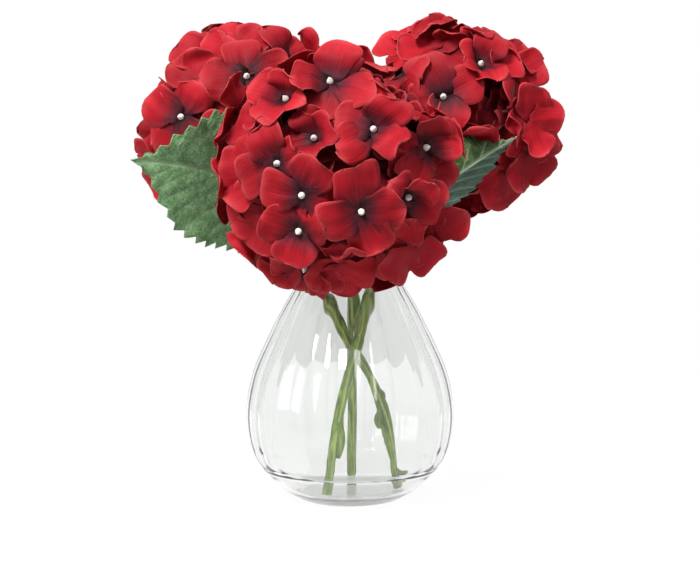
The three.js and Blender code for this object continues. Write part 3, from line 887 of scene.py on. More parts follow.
@dataclass(frozen=True)
class Leaf:
    """A toothed blade, bent and folded over its own plane, with a petiole that runs out into its rib.

    Pairs of sizes are those of the half on the minus side of the rib, then of the half on the plus side.
    The fray is on the plus side.
    """

    name: str
    root: tuple[float, float, float]
    base: tuple[float, float, float]
    tip: tuple[float, float, float]
    faces: tuple[float, float, float]
    start: float
    half: float
    bow: float
    arch: float
    fold: float
    teeth: int
    thickness: float = 0.6
    tooth_depths: tuple[float, float] = (3.6, 3.6)
    minus_teeth: float = 0.0
    tooth_steps: int = 8
    least_half: float = 0.25
    spread: tuple[float, float] = (0.0, 0.0)
    fray: float = 0.0
    fray_seed: int = 5
    columns: int = 41
    petiole_radius: float = 1.7
    petiole_tip_radius: float = 0.6
    petiole_reach: float = 0.4
    petiole_steps: int = 40
    veins: int = 7
    vein_sweep: float = 0.6
    vein_width: float = 0.05
    rib_width: float = 1.2
    rib_depth: float = 0.8
    quilt: float = 1.5
    ruffle: float = 1.1
    finish: PressedLeaf = PressedLeaf()

    def plane(self) -> tuple[float, np.ndarray, np.ndarray, np.ndarray]:
        """Work out the blade's own plane.

        Returns:
            The length from base to tip, and the ways along, up from and across the plane.
        """
        long = np.subtract(self.tip, self.base)
        length = float(np.linalg.norm(long))
        long = long / length
        up = unit(np.array(self.faces) - long * np.dot(self.faces, long))
        return length, long, up, np.cross(up, long)

    def rib(self, share: np.ndarray) -> np.ndarray:
        """How far the midrib bows sideways."""
        return self.bow * np.sin(math.pi * share)

    def half_width(self, share: np.ndarray) -> np.ndarray:
        """The blade's half width, without its teeth."""
        return self.half * np.interp(share, LEAF_OUTLINE[:, 0], LEAF_OUTLINE[:, 1])

    def height(self, share: np.ndarray, sideways: np.ndarray) -> np.ndarray:
        """How far the blade stands off its plane."""
        return self.arch * np.sin(math.pi * share) + self.fold * np.abs(sideways)

    def place(self, share: np.ndarray, sideways: np.ndarray, lift: np.ndarray | float = 0.0) -> np.ndarray:
        """Find places on the blade from their share of its length and their distance from the rib.

        Args:
            share: The shares of the blade's length.
            sideways: The distances from the rib, below 0 on its minus side.
            lift: How far the places stand off the blade.

        Returns:
            The places.
        """
        length, long, up, across = self.plane()
        distance = (self.start + (length - self.start) * share)[..., None]
        off = (self.rib(share) + sideways)[..., None]
        high = (self.height(share, sideways) + lift)[..., None]
        return np.array(self.base) + long * distance + across * off + up * high

    def _edges(self, share: np.ndarray) -> list[np.ndarray]:
        """Trace how far the toothed edges are from the rib, on its minus and on its plus side.

        Args:
            share: The shares of the blade's length.

        Returns:
            For each side, the distance at each share.
        """
        chance = np.random.default_rng(self.fray_seed).uniform(-0.6, 1, len(share))
        frays = self.fray * chance * smooth(share, 0.4, 0.5) * (1 - smooth(share, 0.72, 0.8))
        middle = smooth(share, 0.2, 0.6) * (1 - smooth(share, 0.75, 1))
        counts = (self.minus_teeth or self.teeth, self.teeth)
        extras = (self.spread[0] * middle, self.spread[1] * middle + frays)
        edges = []
        for count, offset, deep, extra in zip(counts, (0.5, 0.0), self.tooth_depths, extras):
            # A tooth widens slowly and drops back within one step, so it points to the leaf's tip.
            point = 1 - count / (len(share) - 1)
            phase = (share * count + offset) % 1.0
            rise = np.where(phase < point + 1e-6, phase / point, (1 - phase) / (1 - point))
            depth = deep * smooth(share, 0, 0.2) * (1 - smooth(share, 0.85, 1))
            edges.append(np.maximum(self.half_width(share) - depth * (1 - rise) + extra, self.least_half))
        return edges

    def _relief(
        self, share: np.ndarray, across: np.ndarray, columns: np.ndarray
    ) -> tuple[np.ndarray, np.ndarray]:
        """Press the veins and quilts into the blade.

        Args:
            share: The share of the blade's length at each place.
            across: The distance from the rib at each place.
            columns: The share of the half width in each column, from -1 to 1.

        Returns:
            How much of a vein each place is, and how far it is lifted.
        """
        reach = np.abs(across) / self.half
        outer = np.abs(columns)
        # The side veins lean forwards and curve to the tip. A lane's whole numbers are its veins.
        lane = (share - self.vein_sweep * reach * (1.25 - 0.5 * reach)) * self.veins
        off_vein = np.abs(lane - np.round(lane))
        side_vein = np.exp(-((off_vein / self.vein_width) ** 2)) * (1 - smooth(outer, 0.75, 1.0))
        rib = np.exp(-((across / self.rib_width) ** 2))
        quilt = self.quilt * np.sin(math.pi * off_vein) ** 0.8 * smooth(np.abs(across), 0.5, 6.0)
        quilt = quilt * (1 - smooth(outer, 0.7, 1.0) * 0.5)
        ruffle = self.ruffle * smooth(outer, 0.6, 1.0) * np.sin(lane * 3.1 + np.sign(across) * 0.9)
        return np.clip(side_vein * 0.8 + rib, 0, 1), quilt + ruffle - self.rib_depth * rib

    def _blade(self, draft: MeshDraft) -> None:
        """Add the toothed, quilted blade.

        Args:
            draft: The mesh that it goes into.
        """
        share = np.linspace(0, 1, self.teeth * self.tooth_steps + 1)
        minus, plus = self._edges(share)
        columns = np.linspace(-1, 1, self.columns)
        columns = np.sign(columns) * np.abs(columns) ** 1.15
        across = np.where(columns < 0, minus[:, None], plus[:, None]) * columns
        shares = np.broadcast_to(share[:, None], across.shape)
        vein, lift = self._relief(shares, across, columns)
        grid = self.place(shares, across, lift)
        draft.add_sheet(grid, self.thickness, vein=vein, half=smooth(across, -1, 1))

    def _petiole(self, draft: MeshDraft) -> None:
        """Add the stalk that runs from the stem under the blade's rib.

        Args:
            draft: The mesh that it goes into.
        """
        below = -self.thickness / 2 - self.petiole_tip_radius * 0.4
        shares = (0.02, self.petiole_reach / 2, self.petiole_reach, 0.9)
        near_base = np.array(self.base) * 0.65 + np.array(self.root) * 0.35
        under = [self.place(np.array(share), np.array(0.0), below) for share in shares]
        route = rounded_route([self.root, near_base, *under], self.petiole_steps)
        radii = [self.petiole_radius * 1.5, self.petiole_radius, self.petiole_tip_radius, 0.25]
        walked = np.linspace(0, 1, len(route))
        petiole = np.interp(walked, [0, 0.08, 0.45, 1], radii)
        draft.add_rod(route, petiole, 10, vein=np.ones_like(walked), half=np.zeros_like(walked))

    def build(self) -> bpy.types.Object:
        """Make the leaf and let it stand for its CAD node.

        Returns:
            The leaf.
        """
        draft = MeshDraft(marks=("vein", "half"))
        self._blade(draft)
        self._petiole(draft)
        piece = draft.build(f"{self.name}_cloth", self.finish.make(f"{self.name}_pressed_crepe"))
        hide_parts(self.name)
        return piece


# The right leaf is folded at its rib. The half above the rib is painted lit and yellower, and the other is
# painted in shade and bluer.
FOLDED_LEAF_LIT_AND_SHADED = PressedLeaf(
    plus=("#2f4a1e", "#506d36", "#88a25c"),
    minus=("#274a3a", "#3c6650", "#578570"),
    vein="#bcd3b0",
    vein_share=0.7,
)

LEAVES = (
    Leaf(
        "leaf_left", (-38, 20, 176), (-34, 27, 194.6), (-140.5, -60, 231.7), (0.585, -0.778, -0.237),
        14, 46, -7.5, 3, 0.06, 14, tooth_depths=(6.5, 4.4), minus_teeth=17.5, tooth_steps=10, spread=(7, 7.5),
        quilt=0.7, finish=PressedLeaf(vein_share=0.75),
    ),
    Leaf(
        "leaf_right", (28, 10, 166), (34, 13, 184), (110, -16, 244), (0.084, -0.844, -0.529),
        12, 25, 3, -2, -0.5, 12, tooth_depths=(3, 3), fray=6.0, veins=6, vein_sweep=0.4, quilt=1.2,
        finish=FOLDED_LEAF_LIT_AND_SHADED,
    ),
    Leaf(
        "leaf_low", (0.5, -10, 160), (6, -18, 166), (12, -60, 149), (0.1, 0.3, 0.95),
        3, 12, 0, 3, -0.2, 8, tooth_depths=(1.6, 1.6), veins=5, quilt=0.5,
    ),
    Leaf(
        "leaf_back_left", (-30, 14, 160), (-34, 34, 166), (-94, 104, 182), (0.2, -0.25, 0.95),
        8, 30, 5, 8, -0.12, 11,
    ),
    Leaf(
        "leaf_back_right", (25, 7, 160), (26, 30, 166), (58, 112, 184), (-0.15, -0.25, 0.95),
        8, 30, -5, 8, -0.12, 11,
    ),
)


@dataclass(frozen=True)
class Clearance:
    """Bends petals clear of the neighbouring bloom and of the leaves, as the part's own source does."""

    ease: float = 3.0
    ease_reach: float = 8.0
    from_bloom: float = 1.2
    from_leaf: float = 2.4
    leaf_margin: float = 14.0

    def push(self, value: np.ndarray, limit: float) -> np.ndarray:
        """Work out how far to move what is nearer than a limit, easing in to nothing well beyond it."""
        near = value < self.ease * self.ease_reach
        return np.where(near, limit + excess(value - limit, self.ease) - value, 0)

    def bend(self, side: Side, points: np.ndarray) -> np.ndarray:
        """Move points of one bloom clear of the rest.

        Args:
            side: The bloom that the points belong to.
            points: The places to move.

        Returns:
            The moved places.
        """
        points = points.copy()
        own = HEADS[side]
        others = [Side.LEFT, Side.RIGHT] if side is Side.FRONT else [Side.FRONT]
        for other in (HEADS[each] for each in others):
            away = np.subtract(own.centre, other.centre).astype(float)
            apart = np.linalg.norm(away)
            away /= apart
            middle = np.array(other.centre) + away * apart * other.reach / (other.reach + own.reach)
            beyond = (points - middle) @ away
            points += self.push(beyond, self.from_bloom)[..., None] * away
        for leaf in LEAVES:
            points += self._off_leaf(own, leaf, points)
        return points

    def _off_leaf(self, own: Head, leaf: Leaf, points: np.ndarray) -> np.ndarray:
        """Work out the moves that bring points clear of one leaf, on the bloom's own side of it.

        Args:
            own: The bloom's own measures.
            leaf: The leaf.
            points: The points.

        Returns:
            The move of each point.
        """
        length, long, up, across = leaf.plane()
        off = points - np.array(leaf.base)
        share = (off @ long - leaf.start) / (length - leaf.start)
        inside = np.clip(share, 0, 1)
        sideways = off @ across - leaf.rib(inside)
        past_edge = np.abs(sideways) - leaf.half_width(inside)
        past_end = np.abs(share - inside) * length
        near = np.clip(1 - np.maximum(np.maximum(past_edge, past_end), 0) / self.leaf_margin, 0, 1)
        facing = np.sign(np.dot(np.subtract(own.centre, leaf.base), up))
        blade = leaf.height(inside, np.minimum(np.abs(sideways), leaf.half))
        height = (off @ up - blade) * facing
        return (self.push(height, self.from_leaf) * near * facing)[..., None] * up


def direction(azimuth: float, elevation: float) -> np.ndarray:
    """The way from a bloom's middle at the given azimuth and elevation in degrees."""
    turn, rise = math.radians(azimuth), math.radians(elevation)
    return np.array([math.sin(turn) * math.cos(rise), -math.cos(turn) * math.cos(rise), math.sin(rise)])


@dataclass(frozen=True)
class FloretPlace:
    """Where a floret sits: its way from the bloom's middle, its turn, how far out, and how its face leans.

    The petals are those of the bloom's entry in SHAPED, for a floret that is set petal by petal.
    """

    way: np.ndarray
    turn: float
    out: float = 0.0
    lean: float = 0.0
    placed: bool = False
    petals: tuple[tuple[float, float, float, float], ...] = ()


@dataclass(frozen=True)
class FloretStand:
    """How a floret stands: its middle, and its own east, north and up ways.

    Reach is its distance from the bloom's middle, wild says how far its petals stray from the plain shape,
    and fine tells an outer floret from a hidden one.
    """

    place: FloretPlace
    middle: np.ndarray
    ways: np.ndarray
    reach: float
    wild: float
    fine: bool

    @property
    def facing(self) -> int:
        """Tell whether the face looks to the front, 1, or the back, -1."""
        return -1 if self.ways[2][1] > 0 else 1

    @property
    def turned(self) -> bool:
        """Tell whether the face looks into the bloom."""
        return bool(np.dot(self.ways[2], self.place.way) < TURNED_IN)


@dataclass(frozen=True)
class PetalForm:
    """The drawn chances of one petal, in millimetres and radians, and the shape that they give it."""

    length: float
    width: float
    rise: float
    drop: float
    curl: float
    roll: float
    ruffle: float
    waves: float
    phase: float
    pitch: float
    twist: float
    skew: float
    notch: float
    crease: float
    square: float
    fold: float
    crumple: float

    def _flat(self, u: np.ndarray, v: np.ndarray, along: np.ndarray) -> tuple[np.ndarray, np.ndarray]:
        """Trace the flat petal: narrow at the eye, widest past its middle, perhaps notched at its lip.

        Args:
            u: How far out each row is, from 0 to 1.
            v: How far across each column is, from -1 to 1.
            along: The rows' share of the length.

        Returns:
            The places along +X and across, along Y.
        """
        past_widest = np.clip(along - PETAL_WIDEST, 0, 1) / (1 - PETAL_WIDEST)
        outer = np.sqrt(np.clip(1 - past_widest**self.square, 0, 1))
        inner = 0.16 + 0.84 * smooth(along, -0.16, PETAL_WIDEST * 0.9) ** 0.8
        half = self.width * np.where(along > PETAL_WIDEST, outer, inner)
        x = along * self.length * np.ones_like(v)
        y = half * v + self.skew * self.length * along**2
        return x - self.notch * self.length * np.exp(-((v / 0.3) ** 2)) * u**8, y

    def _height(self, x: np.ndarray, y: np.ndarray, share: np.ndarray, v: np.ndarray) -> np.ndarray:
        """Work out how far each place stands up.

        Args:
            x: The places along the petal.
            y: The places across it.
            share: The places along it as a share of its length.
            v: How far across each column is, from -1 to 1.

        Returns:
            The heights: a bow, a cup and a rolled lip, then the crease, the ribs, the fold and the dents.
        """
        flat_eye = smooth(share, 0.04, 0.4)
        bow = np.sin(math.pi * np.clip(share, 0, 1))
        z = self.rise * share - self.drop * share**2.4
        z = z + self.curl * (y / self.width) ** 2 * (0.25 + share) * flat_eye
        z = z + self.roll * smooth(share, 0.62, 1.08) ** 1.5 * (1 + 0.4 * np.sin(self.phase + 2 * v))
        z = z - self.crease * np.exp(-((y / 2.2) ** 2)) * bow**0.7
        z = z + 0.3 * np.cos(v * 10 + self.phase) * bow * (1 - np.abs(v))
        z = z + self.fold * np.abs(y) * smooth(share, 0, 0.4)
        dents = np.sin(0.42 * x + 0.2 * y + self.phase * 5) * np.sin(0.36 * y - 0.16 * x + self.phase * 7)
        return z + self.crumple * dents * smooth(share, 0.1, 0.5)

    def shape(self, index: int, rows: int, columns: int) -> tuple[np.ndarray, np.ndarray, np.ndarray]:
        """Shape the petal along +X, with the floret's face up.

        Args:
            index: Its number in the floret, which sets whether it lies over or under its neighbours.
            rows: How many places there are along it.
            columns: How many places there are across it.

        Returns:
            The grid of places, and how far along and across the petal each one is.
        """
        u = np.linspace(0, 1, rows)[:, None]
        v = np.linspace(-1, 1, columns)[None, :]
        along = np.sin(u * math.pi / 2) ** 0.92
        x, y = self._flat(u, v, along)
        # The rim swells and shrinks in slow waves round the petal.
        angle = np.arctan2(y, x - 0.4 * self.length)
        edge = np.maximum(np.abs(v) * np.ones_like(u), u * np.ones_like(v))
        swell = 1.4 * np.sin(2.0 * angle + self.phase * 2) + 0.9 * np.sin(5.0 * angle + self.phase * 3)
        swell = edge**4 * swell
        x = x + swell * np.cos(angle)
        y = y + swell * np.sin(angle)
        share = np.clip(x / self.length, 0, 1.1)
        flat_eye = smooth(share, 0.04, 0.4)
        ruffle = self.ruffle * edge**2.6 * np.sin(self.waves * angle + self.phase) * flat_eye
        lap = 0.75 if index % 2 else -0.25
        z = self._height(x, y, share, v) + ruffle + lap * (1 - smooth(share, 0.3, 0.9))
        twist = self.twist * share * flat_eye
        y, z = y * np.cos(twist) - z * np.sin(twist), y * np.sin(twist) + z * np.cos(twist)
        bent = self.pitch * smooth(share, 0.0, 0.5)
        x, z = x * np.cos(bent) - z * np.sin(bent), x * np.sin(bent) + z * np.cos(bent)
        return np.stack([x, y, z], axis=-1), along * np.ones_like(v), v * np.ones_like(u)


@dataclass(frozen=True)
class Bloom:
    """A mophead: many four-petalled florets on stalks that spring from one hub."""

    side: Side
    floret_radius: float = 30.0
    petal_thickness: float = 0.35
    grid: tuple[int, int] = (13, 13)
    hidden_grid: tuple[int, int] = (8, 7)
    petals: int = 4
    bead_radius: float = 2.2
    bead_height: float = 5.2
    stalk_radius: float = 0.9
    stalk_steps: int = 12
    levels: tuple[float, ...] = (0.0, 5.0, -5.0)
    sunk: float = 2.5
    towards_front: float = 0.22
    stem_free: float = 44.0
    spacing: float = 0.66
    inner_layers: tuple[tuple[int, float], ...] = ((60, 0.8), (34, 0.62), (14, 0.4))
    inner_size: float = 0.84
    calm: float = 0.9
    wild: float = 1.3
    petal_lift: float = 15.0
    inner_lift: float = 8.0
    lift_ease: float = 4.0
    tuck: float = 1.5
    tuck_ease: float = 1.2
    tuck_from: float = 0.4
    tuck_span: float = 2.2
    eye_reach: tuple[float, float] = (9.0, 23.0)
    lean_spread: float = 24.0

    def places(self) -> list[FloretPlace]:
        """Find the florets' places: those listed, then an even spiral wherever it leaves room.

        Returns:
            The places.
        """
        head = HEADS[self.side]
        faces = unit(np.array(head.faces))
        random = seeded(head.seed)
        places = []
        for number, (azimuth, elevation, turn, *rest) in enumerate(head.placed):
            petals = SHAPED[self.side].get(number, ())
            places.append(FloretPlace(direction(azimuth, elevation), turn, *rest, placed=True, petals=petals))
        apart = self.spacing * math.sqrt(4 * math.pi / head.count)
        for way in self._spiral(head.count):
            turn = next(random) * 90
            free = all(math.acos(np.clip(np.dot(place.way, way), -1, 1)) > apart for place in places)
            clear_of_stem = math.acos(np.clip(np.dot(way, -faces), -1, 1)) > math.radians(self.stem_free)
            if free and clear_of_stem:
                places.append(FloretPlace(way, turn))
        return places

    def _spiral(self, count: int) -> list[np.ndarray]:
        """Spread ways evenly over a ball, from the way that the bloom faces round to its stem.

        Args:
            count: How many ways there are.

        Returns:
            The ways, each of length 1.
        """
        to_faces = np.array(Vector((0, 0, 1)).rotation_difference(Vector(HEADS[self.side].faces)).to_matrix())
        ways = []
        for i in range(count):
            height = 1 - 2 * (i + 0.5) / count
            level, turn = math.sqrt(1 - height * height), i * GOLDEN_TURN
            ways.append(to_faces @ (level * math.cos(turn), level * math.sin(turn), height))
        return ways

    def _form(self, random: np.random.Generator, stand: FloretStand, petal: int) -> PetalForm:
        """Draw the chances of one petal.

        Args:
            random: The bloom's own generator.
            stand: The floret that it belongs to.
            petal: Its number in the floret.

        Returns:
            The petal's form, with what the photograph shows of it where it is listed.
        """
        wild = stand.wild
        length = self.floret_radius * random.uniform(0.86, 1.04) * (1.0 if stand.fine else self.inner_size)
        form = PetalForm(
            length=length,
            width=length * random.uniform(0.44, 0.53),
            rise=random.uniform(2, 6),
            drop=random.uniform(1, 8) * wild,
            curl=random.normal(0.4, 3.2) * wild,
            roll=random.normal(-0.6, 3.4) * wild,
            ruffle=random.uniform(1.3, 3.2) * wild**0.6,
            waves=random.uniform(3.0, 5.6),
            phase=random.uniform(0, 2 * math.pi),
            pitch=math.radians(np.clip(random.normal(6, 15), -30, 40)) * wild,
            twist=math.radians(random.normal(0, 12)) * wild,
            skew=random.normal(0, 0.09),
            notch=random.uniform(0, 0.1),
            crease=random.uniform(0, 1.5),
            square=random.uniform(2.6, 4.6),
            fold=random.normal(0, 0.16) * wild,
            crumple=random.uniform(0.35, 0.8),
        )
        if not stand.place.petals:
            return form
        _, length, pitch, cup = stand.place.petals[petal]
        return replace(
            form,
            length=length,
            width=0.3 * length + 0.2 * self.floret_radius,
            pitch=math.radians(pitch) * stand.facing,
            curl=cup * stand.facing,
            fold=form.fold * 0.5,
            twist=form.twist * 0.5,
        )

    def _stand(self, place: FloretPlace, reach: float, wild: float, fine: bool) -> FloretStand:
        """Work out a floret's middle and its own east, north and up ways.

        Args:
            place: Where the floret is.
            reach: Its distance from the bloom's middle.
            wild: How far its petals stray from the plain shape.
            fine: Whether it is an outer floret.

        Returns:
            How the floret stands.
        """
        head = HEADS[self.side]
        up = place.way
        if place.placed:
            up = unit(place.way + np.array([0, -self.towards_front, 0]))
        if place.lean:
            # The face leans over in the plane of its place's way and the view. For a floret right in front
            # its turn settles which way that is.
            aside = unit(place.way * (1, 0, 1) + 0.05 * direction(place.turn * 4, 0) * (1, 0, 1))
            turned = math.acos(np.clip(np.dot(up, TO_VIEWER), -1, 1)) + math.radians(place.lean)
            up = TO_VIEWER * math.cos(turned) + aside * math.sin(turned)
        east = unit(np.cross((0.0, 0.0, 1.0), up))
        middle = np.array(head.centre) + place.way * reach
        return FloretStand(place, middle, np.stack([east, np.cross(up, east), up]), reach, wild, fine)

    def _tucked(self, points: np.ndarray, above: list[FloretStand]) -> np.ndarray:
        """Push petals under the middles of the florets that stand further out.

        Args:
            points: The petals' points.
            above: Those florets.

        Returns:
            The points after the push.
        """
        points = points.copy()
        for stand in above:
            off = points - stand.middle
            height = off @ stand.ways[2]
            aside = np.linalg.norm(off - height[..., None] * stand.ways[2], axis=-1)
            near = 1 - smooth(aside, *self.eye_reach)
            points -= (excess(height + self.tuck, self.tuck_ease) * near)[..., None] * stand.ways[2]
        return points

    def _within(self, points: np.ndarray, limit: float) -> np.ndarray:
        """Draw in what stands further from the bloom's middle than a limit, easing in.

        Args:
            points: The points.
            limit: The limit.

        Returns:
            The points, drawn in.
        """
        centre = np.array(HEADS[self.side].centre, float)
        off = points - centre
        far = np.linalg.norm(off, axis=-1)
        drawn = far - 0.7 * excess(far - limit, self.lift_ease)
        return centre + off * (drawn / far)[..., None]

    def _settled(self, points: np.ndarray, stand: FloretStand, above: list[FloretStand]) -> np.ndarray:
        """Bend points of a floret under those above it, into the bloom's round and clear of the rest.

        Args:
            points: The points.
            stand: How the floret stands.
            above: The florets above it.

        Returns:
            The points after the bend.
        """
        lift = self.petal_lift if stand.place.placed else self.inner_lift
        drawn_in = self._within(self._tucked(points, above), stand.reach + lift)
        return Clearance().bend(self.side, drawn_in)

    def _floret(
        self, draft: MeshDraft, stand: FloretStand, above: list[FloretStand], random: np.random.Generator
    ) -> None:
        """Add the four petals of one floret.

        Args:
            draft: The bloom's petals.
            stand: Where the floret is and how it stands.
            above: The florets near it that stand further out.
            random: The bloom's own generator.
        """
        rows, columns = self.grid if stand.fine else self.hidden_grid
        floret_tone = random.uniform(0, 1)
        for petal in range(self.petals):
            form = self._form(random, stand, petal)
            grid, along, across = form.shape(petal, rows, columns)
            angle = stand.place.turn + petal * 360 / self.petals + random.normal(0, 8)
            if stand.place.petals:
                seen = stand.place.petals[petal][0]
                angle = seen if stand.facing > 0 else 180 - seen
            spun = grid @ np.array(Matrix.Rotation(math.radians(angle), 3, "Z")).T
            spot = self._settled(stand.middle + spun @ stand.ways, stand, above)
            # A hidden floret is painted darker than any other, as painted shade deep in the bloom.
            tone_and_shade = np.clip(floret_tone * 0.4 + random.uniform(0, 1) * 0.6, 0, 1) if stand.fine else -0.25
            edge = np.maximum(np.abs(across), along)
            # The eye is sprayed from the front, so a petal's back is plain.
            plain = {"along": 0.5 + 0.45 * along}
            marks = {"along": along, "across": across, "tone_and_shade": tone_and_shade, "edge": edge}
            draft.add_sheet(spot, self.petal_thickness, plain, **marks)

    def stands(self, random: np.random.Generator) -> list[FloretStand]:
        """Find how each floret stands: the outer ones, then those of the hidden layers.

        Args:
            random: The bloom's random draws.

        Returns:
            How each floret stands.
        """
        head = HEADS[self.side]
        chance = seeded(head.seed * 7 + 1)
        stands = []
        for index, place in enumerate(self.places()):
            level = place.out or self.levels[index % len(self.levels)]
            reach = head.reach + level + (next(chance) - 0.5) * 2 - (0 if place.placed else self.sunk)
            # The part's own source draws three numbers for each petal here.
            for _ in range(3 * self.petals):
                next(chance)
            if not place.placed:
                place = replace(place, lean=random.normal(0, self.lean_spread))
            stands.append(self._stand(place, reach, self.calm if place.petals else self.wild, True))
        for count, share in self.inner_layers:
            for way in self._spiral(count):
                if np.dot(way, unit(np.array(head.faces))) > -math.cos(math.radians(self.stem_free * 0.8)):
                    place = FloretPlace(way, random.uniform(0, 90))
                    stands.append(self._stand(place, head.reach * share, 1.0, False))
        return stands

    def build(self) -> list[bpy.types.Object]:
        """Make the bloom's petals, beads and stalks, and let the petals stand for the CAD node.

        Returns:
            The petals, the beads and the stalks.
        """
        random = np.random.default_rng(HEADS[self.side].seed)
        petals = MeshDraft(marks=PETAL_MARKS)
        beads = MeshDraft()
        stalks = MeshDraft(marks=("along",))
        hub = self._hub(stalks)
        stands = self.stands(random)
        for stand in stands:
            self._floret(petals, stand, self._above(stand, stands), random)
            eye = self._settled(stand.middle[None], stand, [])[0]
            self._stalk(stalks, hub, eye, stand)
            if stand.fine and not stand.turned:
                self._bead(beads, eye, stand.ways)
        name = self.side.value
        cloth = petals.build(f"head_{name}_petals", SatinPetal().make(f"pressed_satin_{name}"))
        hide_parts(f"head_{name}")
        pearls = beads.build(f"head_{name}_beads", PearlBead().make())
        umbel = stalks.build(f"head_{name}_stalks", DarkStalk().make())
        return [cloth, pearls, umbel]

    def _above(self, stand: FloretStand, stands: list[FloretStand]) -> list[FloretStand]:
        """Find the florets that one is tucked under: those near it that stand further out.

        Args:
            stand: How the floret stands.
            stands: How each of the bloom's florets stands.

        Returns:
            Those above it.
        """
        span = self.tuck_span * self.floret_radius
        return [
            other
            for other in stands
            if (other.place.petals if stand.fine else other.fine)
            and not other.turned
            and other.reach > stand.reach + self.tuck_from
            and np.linalg.norm(other.middle - stand.middle) < span
        ]

    def _bead(self, draft: MeshDraft, middle: np.ndarray, ways: np.ndarray) -> None:
        """Add the teardrop bead in the floret's eye.

        Args:
            draft: The mesh that it goes into.
            middle: The middle of the floret.
            ways: Its east, north and up ways.
        """
        heights = np.array([-0.4, 0.2, 0.9, 1.9, 3.0, 4.1, self.bead_height])
        radii = np.array([0.5, 0.85, 1.0, 0.95, 0.72, 0.4, 0.08]) * self.bead_radius
        draft.add_rings(middle + lathed(radii, heights, turns(10)) @ ways)

    def _hub(self, draft: MeshDraft) -> np.ndarray:
        """Add the swollen end of the stem inside the bloom.

        Args:
            draft: The mesh that it goes into.

        Returns:
            The point that the stalks spring from.
        """
        head = HEADS[self.side]
        entry = np.array(STEM_ROUTES[self.side][-1], float)
        centre = np.array(head.centre, float)
        inwards = unit(centre - entry)
        tip = centre + inwards * (IN_CORE - head.core)
        route = rounded_route([tip - inwards * 4, tip + inwards * 6, centre], self.stalk_steps)
        walked = np.linspace(0, 1, len(route))
        radii = np.interp(walked, [0, 0.3, 1], [3.6, 4.6, 2.2])
        draft.add_rod(route, radii, 12, along=0.3 * walked)
        return tip + inwards * 8

    def _stalk(self, draft: MeshDraft, hub: np.ndarray, middle: np.ndarray, stand: FloretStand) -> None:
        """Add one floret's stalk, springing from the hub and meeting the floret from the bloom's inside.

        Args:
            draft: The mesh that it goes into.
            hub: The point that the stalks spring from.
            middle: The middle of the floret.
            stand: How the floret stands.
        """
        centre = np.array(HEADS[self.side].centre, float)
        up = stand.ways[2]
        bough = hub * 0.55 + centre * 0.45 + (middle - centre) * 0.22
        below = middle - (stand.place.way if stand.turned else up) * 12
        end = middle + (0 if stand.turned else -0.2) * up
        route = rounded_route([hub, bough, below, end], self.stalk_steps)
        # It flares under the eye, but not where the eye looks into the bloom and the flare would show.
        radii = [1.5, self.stalk_radius, 0.8 if stand.turned else 1.7]
        walked = np.linspace(0, 1, len(route))
        draft.add_rod(route, np.interp(walked, [0, 0.85, 1], radii), 6, along=0.1 + 0.9 * walked)


@dataclass(frozen=True)
class Stem:
    """A green rod that swells at its joint in the neck and carries one bloom."""

    side: Side
    radius: float = 3.2
    joint_radius: float = 4.4
    joint_height: float = 126.0
    joint_reach: float = 14.0
    sides: int = 24
    steps: int = 150

    def route(self) -> np.ndarray:
        """Follow the stem from the vase's floor into its bloom.

        Returns:
            The stem's middle line.
        """
        head = HEADS[self.side]
        start = np.array(STEM_ROUTES[self.side][-1], float)
        inwards = unit(np.array(head.centre) - start)
        end = np.array(head.centre) + inwards * (IN_CORE - head.core)
        between = start * 0.45 + end * 0.55
        return rounded_route([*STEM_ROUTES[self.side], between, end], self.steps)

    def _scar(self, draft: MeshDraft, route: np.ndarray, radii: np.ndarray, scar: Scar) -> None:
        """Add the stub of a cut side shoot, or the sheath of a leaf, which hugs the stem.

        Args:
            draft: The mesh that it goes into.
            route: The stem's middle line.
            radii: The stem's radius along it.
            scar: The stub or sheath.
        """
        at = int(np.argmin(np.abs(route[:, 2] - scar.height)))
        ahead = unit(route[at + 1] - route[at])
        aside = unit(np.cross(ahead, TO_VIEWER)) * scar.side
        start = route[at] + aside * radii[at] * 0.3
        bend = start + aside * scar.thick * 0.7 - ahead * scar.length * 0.35
        tip = start + aside * scar.thick * 0.9 - ahead * scar.length
        stub = rounded_route([start + ahead * scar.length * 0.6, start, bend, tip], 14)
        # It is thickest at its middle and thins out at both ends.
        share = 0.06 + 0.86 * np.linspace(0, 1, len(stub))
        draft.add_rod(stub, 0.3 + scar.thick * np.sin(math.pi * share) ** 0.7, 12)

    def build(self) -> bpy.types.Object:
        """Make the stem, with its ridges, and let it stand for its CAD node.

        Returns:
            The stem.
        """
        route = self.route()
        off = np.abs(route[:, 2] - self.joint_height) / self.joint_reach
        middle = self.joint_radius + (self.radius - self.joint_radius) * np.minimum(1, off * off)
        turn = turns(self.sides)
        climb = np.linspace(0, 1, len(route))[:, None]
        # Three ridges wind up the stem, each with a painted highlight on its crest, between finer ones and
        # low knots.
        winding = np.cos(3 * turn + 4 * climb)
        ridges = 0.3 * winding + 0.12 * np.cos(7 * turn - 9 * climb)
        knots = 0.3 * np.sin(climb * 21 + 2 * turn) * np.sin(climb * 9 + turn)
        crest_highlights = smooth(winding, 0.8, 1.0)
        draft = MeshDraft(marks=("ridge",))
        draft.add_rod(route, middle[:, None] + ridges + knots, self.sides, ridge=crest_highlights)
        for scar in SCARS[self.side]:
            self._scar(draft, route, middle, scar)
        piece = draft.build(f"stem_{self.side.value}_rod", MouldedStem().make())
        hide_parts(f"stem_{self.side.value}")
        return piece


